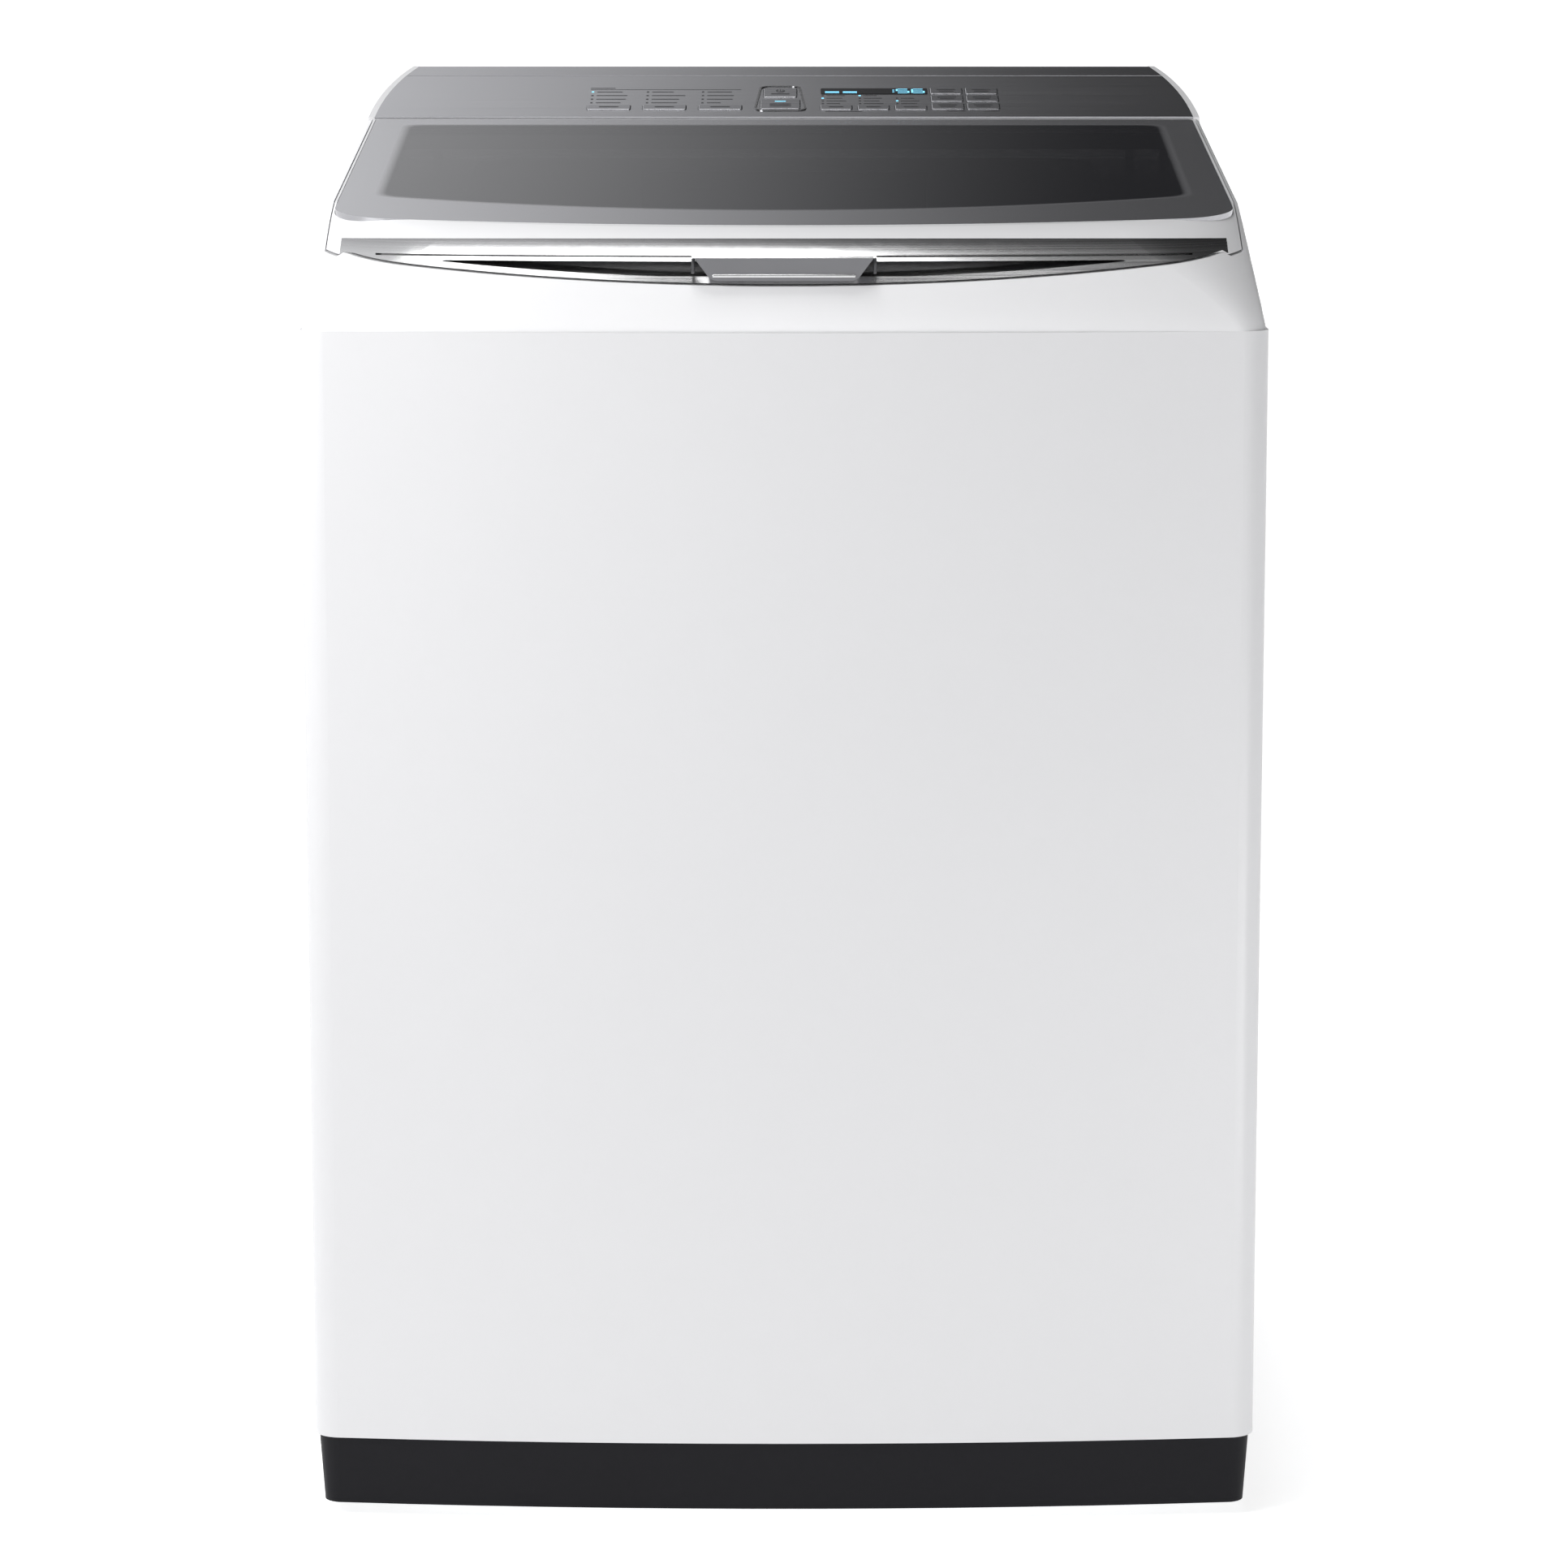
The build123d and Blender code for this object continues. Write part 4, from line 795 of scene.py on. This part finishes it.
bmesh.ops.remove_doubles(bm, verts=bm.verts, dist=0.0001)
basket = finished(bm, "punched_basket", drum_metal, "basket", 50)
sheet = basket.modifiers.new("sheet", "SOLIDIFY")
sheet.thickness, sheet.offset = 0.8 * MM, 0
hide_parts("basket")
print("basket sheet", round(sheet.thickness / MM, 2), "mm")

# %% [markdown]
# ## The handle
#
# The grip in the middle of the bright band has dark pockets at its ends and a paler bevelled
# lip along its lower front.  Both are small bevelled blocks on the CAD grip.  The blocks at
# the ends are near-black plastic that paints the shade in the pockets; the lip is a separate
# moulding on the real one, and its joint shows.

# %% Handle
grip_low, grip_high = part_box("lid_handle")
grip_mid = (grip_low + grip_high) / 2
grip_w = grip_high.x - grip_low.x
lip = bmesh.new()
add_block(lip, (grip_w * 0.80, 1.6 * MM, 2.4 * MM),
          (grip_mid.x, grip_low.y - 0.1 * MM, grip_low.z + 3.6 * MM), 0.7 * MM, 3)
finished(lip, "handle_lip", bright_band, "lid")
# Near-black blocks at the grip's ends: painted shade in its end pockets.
pocket_shade_blocks = bmesh.new()
for side in (-1, 1):
    add_block(pocket_shade_blocks, (2.6 * MM, 12 * MM, 11 * MM),
              (grip_mid.x + side * (grip_w / 2 + 0.9 * MM), grip_low.y + 10 * MM,
               grip_high.z - 6 * MM), 1.0 * MM, 3)
finished(pocket_shade_blocks, "handle_pocket_shade", pocket_shade, "lid")
print("grip width", round(grip_w / MM, 1), "mm")

# %% [markdown]
# ## Bumpers under the lid
#
# Four rubber bumpers keep the lid off the deck.  Each is a short cone whose lower edge is
# bevelled.  Their height follows the lid, which rises towards the console, so they are set
# from the glass's own slope.

# %% Bumpers
frame_low, frame_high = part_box("lid_inner_frame")
bumpers = bmesh.new()
for x_side in (-1, 1):
    for y in (frame_low.y + 75 * MM, frame_high.y - 60 * MM):
        z = glass_high.z - (glass_high.y - y) * lid_rise - 20 * MM
        made = bmesh.ops.create_cone(bumpers, cap_ends=True, segments=24, radius1=5 * MM,
                                     radius2=7 * MM, depth=9 * MM)["verts"]
        top = [e for e in edges_of(made) if all(v.co.z < 0 for v in e.verts)]
        bmesh.ops.translate(bumpers, verts=made, vec=(x_side * (frame_high.x - 9 * MM), y,
                                                      z - 4.6 * MM))
        bmesh.ops.bevel(bumpers, geom=top, offset=1.5 * MM, segments=3, profile=0.5,
                        affect="EDGES", material=-1)
finished(bumpers, "lid_bumpers", foot_black, "lid")
print("bumpers reach", round(frame_high.x - 9 * MM, 4), "from the middle")

# %% [markdown]
# ## The softener's siphon cap
#
# The softener side of the drawer empties through a siphon: a lid with a hollow stem over it.
# A block and a cone that overlap are enough, because the place where they meet is hidden.

# %% Siphon cap
drawer_low, drawer_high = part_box("detergent_drawer")
drawer_mid = (drawer_low + drawer_high) / 2
cap_x, cap_y = drawer_mid.x - 60 * MM, drawer_mid.y + 10 * MM
cap = bmesh.new()
add_block(cap, (86 * MM, 70 * MM, 2 * MM), (cap_x, cap_y, drawer_low.z + 20 * MM), 0.8 * MM)
made = bmesh.ops.create_cone(cap, cap_ends=True, segments=32, radius1=9 * MM, radius2=8 * MM,
                             depth=16 * MM)["verts"]
bmesh.ops.translate(cap, verts=made, vec=(cap_x, cap_y, drawer_low.z + 13 * MM))
finished(cap, "softener_siphon_cap", inner_grey, "drawer")
print("siphon cap at", round(cap_x, 4), round(cap_y, 4))

# %% [markdown]
# ## Marks on the drawer
#
# The drawer's face has two small pictures, a flower for the softener and a drop for the
# detergent, with a bar under each and a long shallow arc between them.  All are thin wires
# and blocks that stand just proud of the face, and the arc is a small part of a large ring.

# %% Drawer marks
UPRIGHT = Matrix.Rotation(pi / 2, 4, "X")
face_y = drawer_low.y - 0.12 * MM
pictures = bmesh.new()
flower_at = Vector((drawer_mid.x - 67 * MM, face_y, drawer_high.z - 7 * MM))
for petal in range(6):
    turn = Matrix.Rotation(petal * pi / 3, 4, "Y")
    add_ring(pictures, 1.1 * MM, 0.22 * MM, flower_at + turn @ Vector((1.9 * MM, 0, 0)), UPRIGHT,
             steps=10)
drop_at = Vector((drawer_mid.x + 65 * MM, face_y, drawer_high.z - 8 * MM))
add_ring(pictures, 2.0 * MM, 0.25 * MM, drop_at, UPRIGHT, radians(-235), radians(290), 16)
for side in (-1, 1):
    lean = Matrix.Rotation(side * radians(-35), 4, "Y")
    flank_at = drop_at + Vector((side * 0.95 * MM, 0, 3.0 * MM))
    add_block(pictures, (0.5 * MM, 0.4 * MM, 3.4 * MM), flank_at, 0, 1, lean)
ARC_R, ARC_SWEEP = 1.9, 0.084
arc_at = Vector((drawer_mid.x, face_y, drawer_mid.z - 1.5 * MM + ARC_R))
add_ring(pictures, ARC_R, 0.28 * MM, arc_at, UPRIGHT, radians(-90) - ARC_SWEEP / 2, ARC_SWEEP, 24)
for side, width in ((-1, 20), (1, 24)):
    add_block(pictures, (width * MM, 0.3 * MM, 1.8 * MM),
              (drawer_mid.x + side * 66 * MM, face_y, drawer_high.z - 13.5 * MM))
finished(pictures, "drawer_marks", dark_mark, "drawer")
print("drawer arc is", round(ARC_R * ARC_SWEEP / MM), "mm long")

# %% [markdown]
# ## The floor
#
# The machine stands on a pale round floor whose rim curves up a little, so that no horizon
# line shows.  Lamps bright enough to turn a real floor pure white would burn out the machine,
# so the floor sends out some light of its own.  It is part of the stage, not of the object.

# %% Floor
FLOOR_GLOW = 0.78


def plain(name, colour, rough):
    finish = Finish(name, Roughness=rough)
    cloud = finish.noise(finish.place(), 1.5, 2.0)
    shade = tuple(0.98 * c for c in colour)
    finish.set(Base_Color=finish.tint(cloud, shade, colour), Emission_Strength=FLOOR_GLOW)
    return finish.set(Emission_Color=(1.0, 1.0, 1.0)).material


FLOOR_R, CURVE_R = 12.0, 1.4
bm = bmesh.new()
bmesh.ops.create_circle(bm, cap_ends=True, segments=96, radius=FLOOR_R)
rim = [e for e in bm.edges if e.is_boundary]
for step in range(1, 9):
    angle = step * pi / 16
    grown = bmesh.ops.extrude_edge_only(bm, edges=rim)["geom"]
    rim = [g for g in grown if isinstance(g, bmesh.types.BMEdge)]
    for vert in (g for g in grown if isinstance(g, bmesh.types.BMVert)):
        out = vert.co.xy.normalized() * (FLOOR_R + CURVE_R * sin(angle))
        vert.co = (out.x, out.y, CURVE_R * (1 - cos(angle)))
floor_mesh = bpy.data.meshes.new("floor")
bm.to_mesh(floor_mesh)
bm.free()
floor_mesh.shade_smooth()
floor = bpy.data.objects.new("floor", floor_mesh)
bpy.context.collection.objects.link(floor)
floor.data.materials.append(plain("pale_floor", (0.90, 0.90, 0.905), 0.7))
floor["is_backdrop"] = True
print("floor reaches", FLOOR_R + CURVE_R, "m")

# %% [markdown]
# ## The light of the room
#
# The sloping glass and the brushed plate mirror what is behind the machine, and the enamel
# takes its shade from the whole room.  Light panels could do this, but their edges would show
# in the glass.  Here the world itself is graded: behind the machine it goes from bright on
# the left to dark on the right, and in front it is evenly dim.

# %% Room light
world = bpy.data.worlds.new("studio")
bpy.context.scene.world = world
world.use_nodes = True
sky = world.node_tree


def sky_node(kind, **values):
    made = sky.nodes.new(kind)
    for name, value in values.items():
        socket = made.inputs[name.replace("_", " ")]
        if isinstance(value, bpy.types.NodeSocket):
            sky.links.new(value, socket)
        else:
            socket.default_value = value
    return made


direction = sky_node("ShaderNodeTexCoord").outputs["Generated"]
toward = sky_node("ShaderNodeSeparateXYZ", Vector=direction)
DARK_SIDE, BRIGHT_SIDE, FRONT_ROOM = 0.04, 1.0, 0.14
behind = sky_node("ShaderNodeMapRange", Value=toward.outputs["X"], From_Min=-0.15, From_Max=0.07,
                  To_Min=BRIGHT_SIDE, To_Max=DARK_SIDE)
behind.interpolation_type = "SMOOTHSTEP"
depth = sky_node("ShaderNodeMapRange", Value=toward.outputs["Y"], From_Min=0.0, From_Max=0.4,
                 To_Min=0.0, To_Max=1.0)
room = sky_node("ShaderNodeMix", Factor=depth.outputs["Result"], A=FRONT_ROOM,
                B=behind.outputs["Result"])
backdrop = sky.nodes["Background"]
backdrop.inputs["Color"].default_value = (0.975, 0.98, 1.0, 1)
sky.links.new(room.outputs["Result"], backdrop.inputs["Strength"])
bpy.context.scene.view_settings.view_transform = "Standard"
print("room light from", BRIGHT_SIDE, "to", DARK_SIDE, "and", FRONT_ROOM, "in front")


# %% [markdown]
# ## Softboxes
#
# A wide key light stands in front on the left and a weak one low on the right, so the front
# shades from one side to the other and its slight bow can be seen.  A large light above
# lifts the cover and the lid.  Area lights are used because small ones would cast hard
# shadows.

# %% Softboxes
def softbox(name, at, aim, size, power):
    data = bpy.data.lights.new(name, "AREA")
    data.shape, data.size, data.size_y, data.energy = "RECTANGLE", *size, power
    light = bpy.data.objects.new(name, data)
    bpy.context.collection.objects.link(light)
    light.location = at
    light.rotation_euler = (Vector(aim) - Vector(at)).to_track_quat("-Z", "Y").to_euler()


softbox("key", (-1.2, -1.1, 1.35), (-0.25, -0.35, 0.85), (0.7, 0.7), 15)
softbox("low_right", (1.1, -1.2, 0.2), (0.3, -0.35, 0.1), (0.5, 0.3), 2.6)
softbox("top", (-0.2, -0.35, 3.0), (0, -0.3, 0.9), (1.4, 0.8), 24)
print("softboxes", len(bpy.data.lights))

# %% [markdown]
# ## Camera
#
# The viewing point is 1.176 m above the floor and about 3.8 m in front of the cabinet, and the
# lens is long, so that the sides stay nearly parallel.  The camera is pitched down until the
# whole front is in the frame.  A shifted lens would keep the sides quite upright, but a plain
# turn of the camera is easier to follow.

# %% Camera
CAMERA_HEIGHT, CAMERA_BACK, DOWN = 1.176, 3.80, radians(9.45)
camera_data = bpy.data.cameras.new("camera")
camera_data.lens, camera_data.sensor_width = 123.8, 36.0
camera = bpy.data.objects.new("camera", camera_data)
bpy.context.collection.objects.link(camera)
camera.location = (0, cad_low.y + 18 * MM - CAMERA_BACK, CAMERA_HEIGHT)
camera.rotation_euler = (pi / 2 - DOWN, 0, 0)
bpy.context.scene.camera = camera
print("camera at", [round(v, 3) for v in camera.location])

# %% [markdown]
# ## Sizes
#
# The box round everything that is visible is measured once more.  It should be the CAD box,
# because the new pieces are details that lie within it.

# %% Sizes and finish
low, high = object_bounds()
print("visual box", [round(v, 4) for v in high - low])
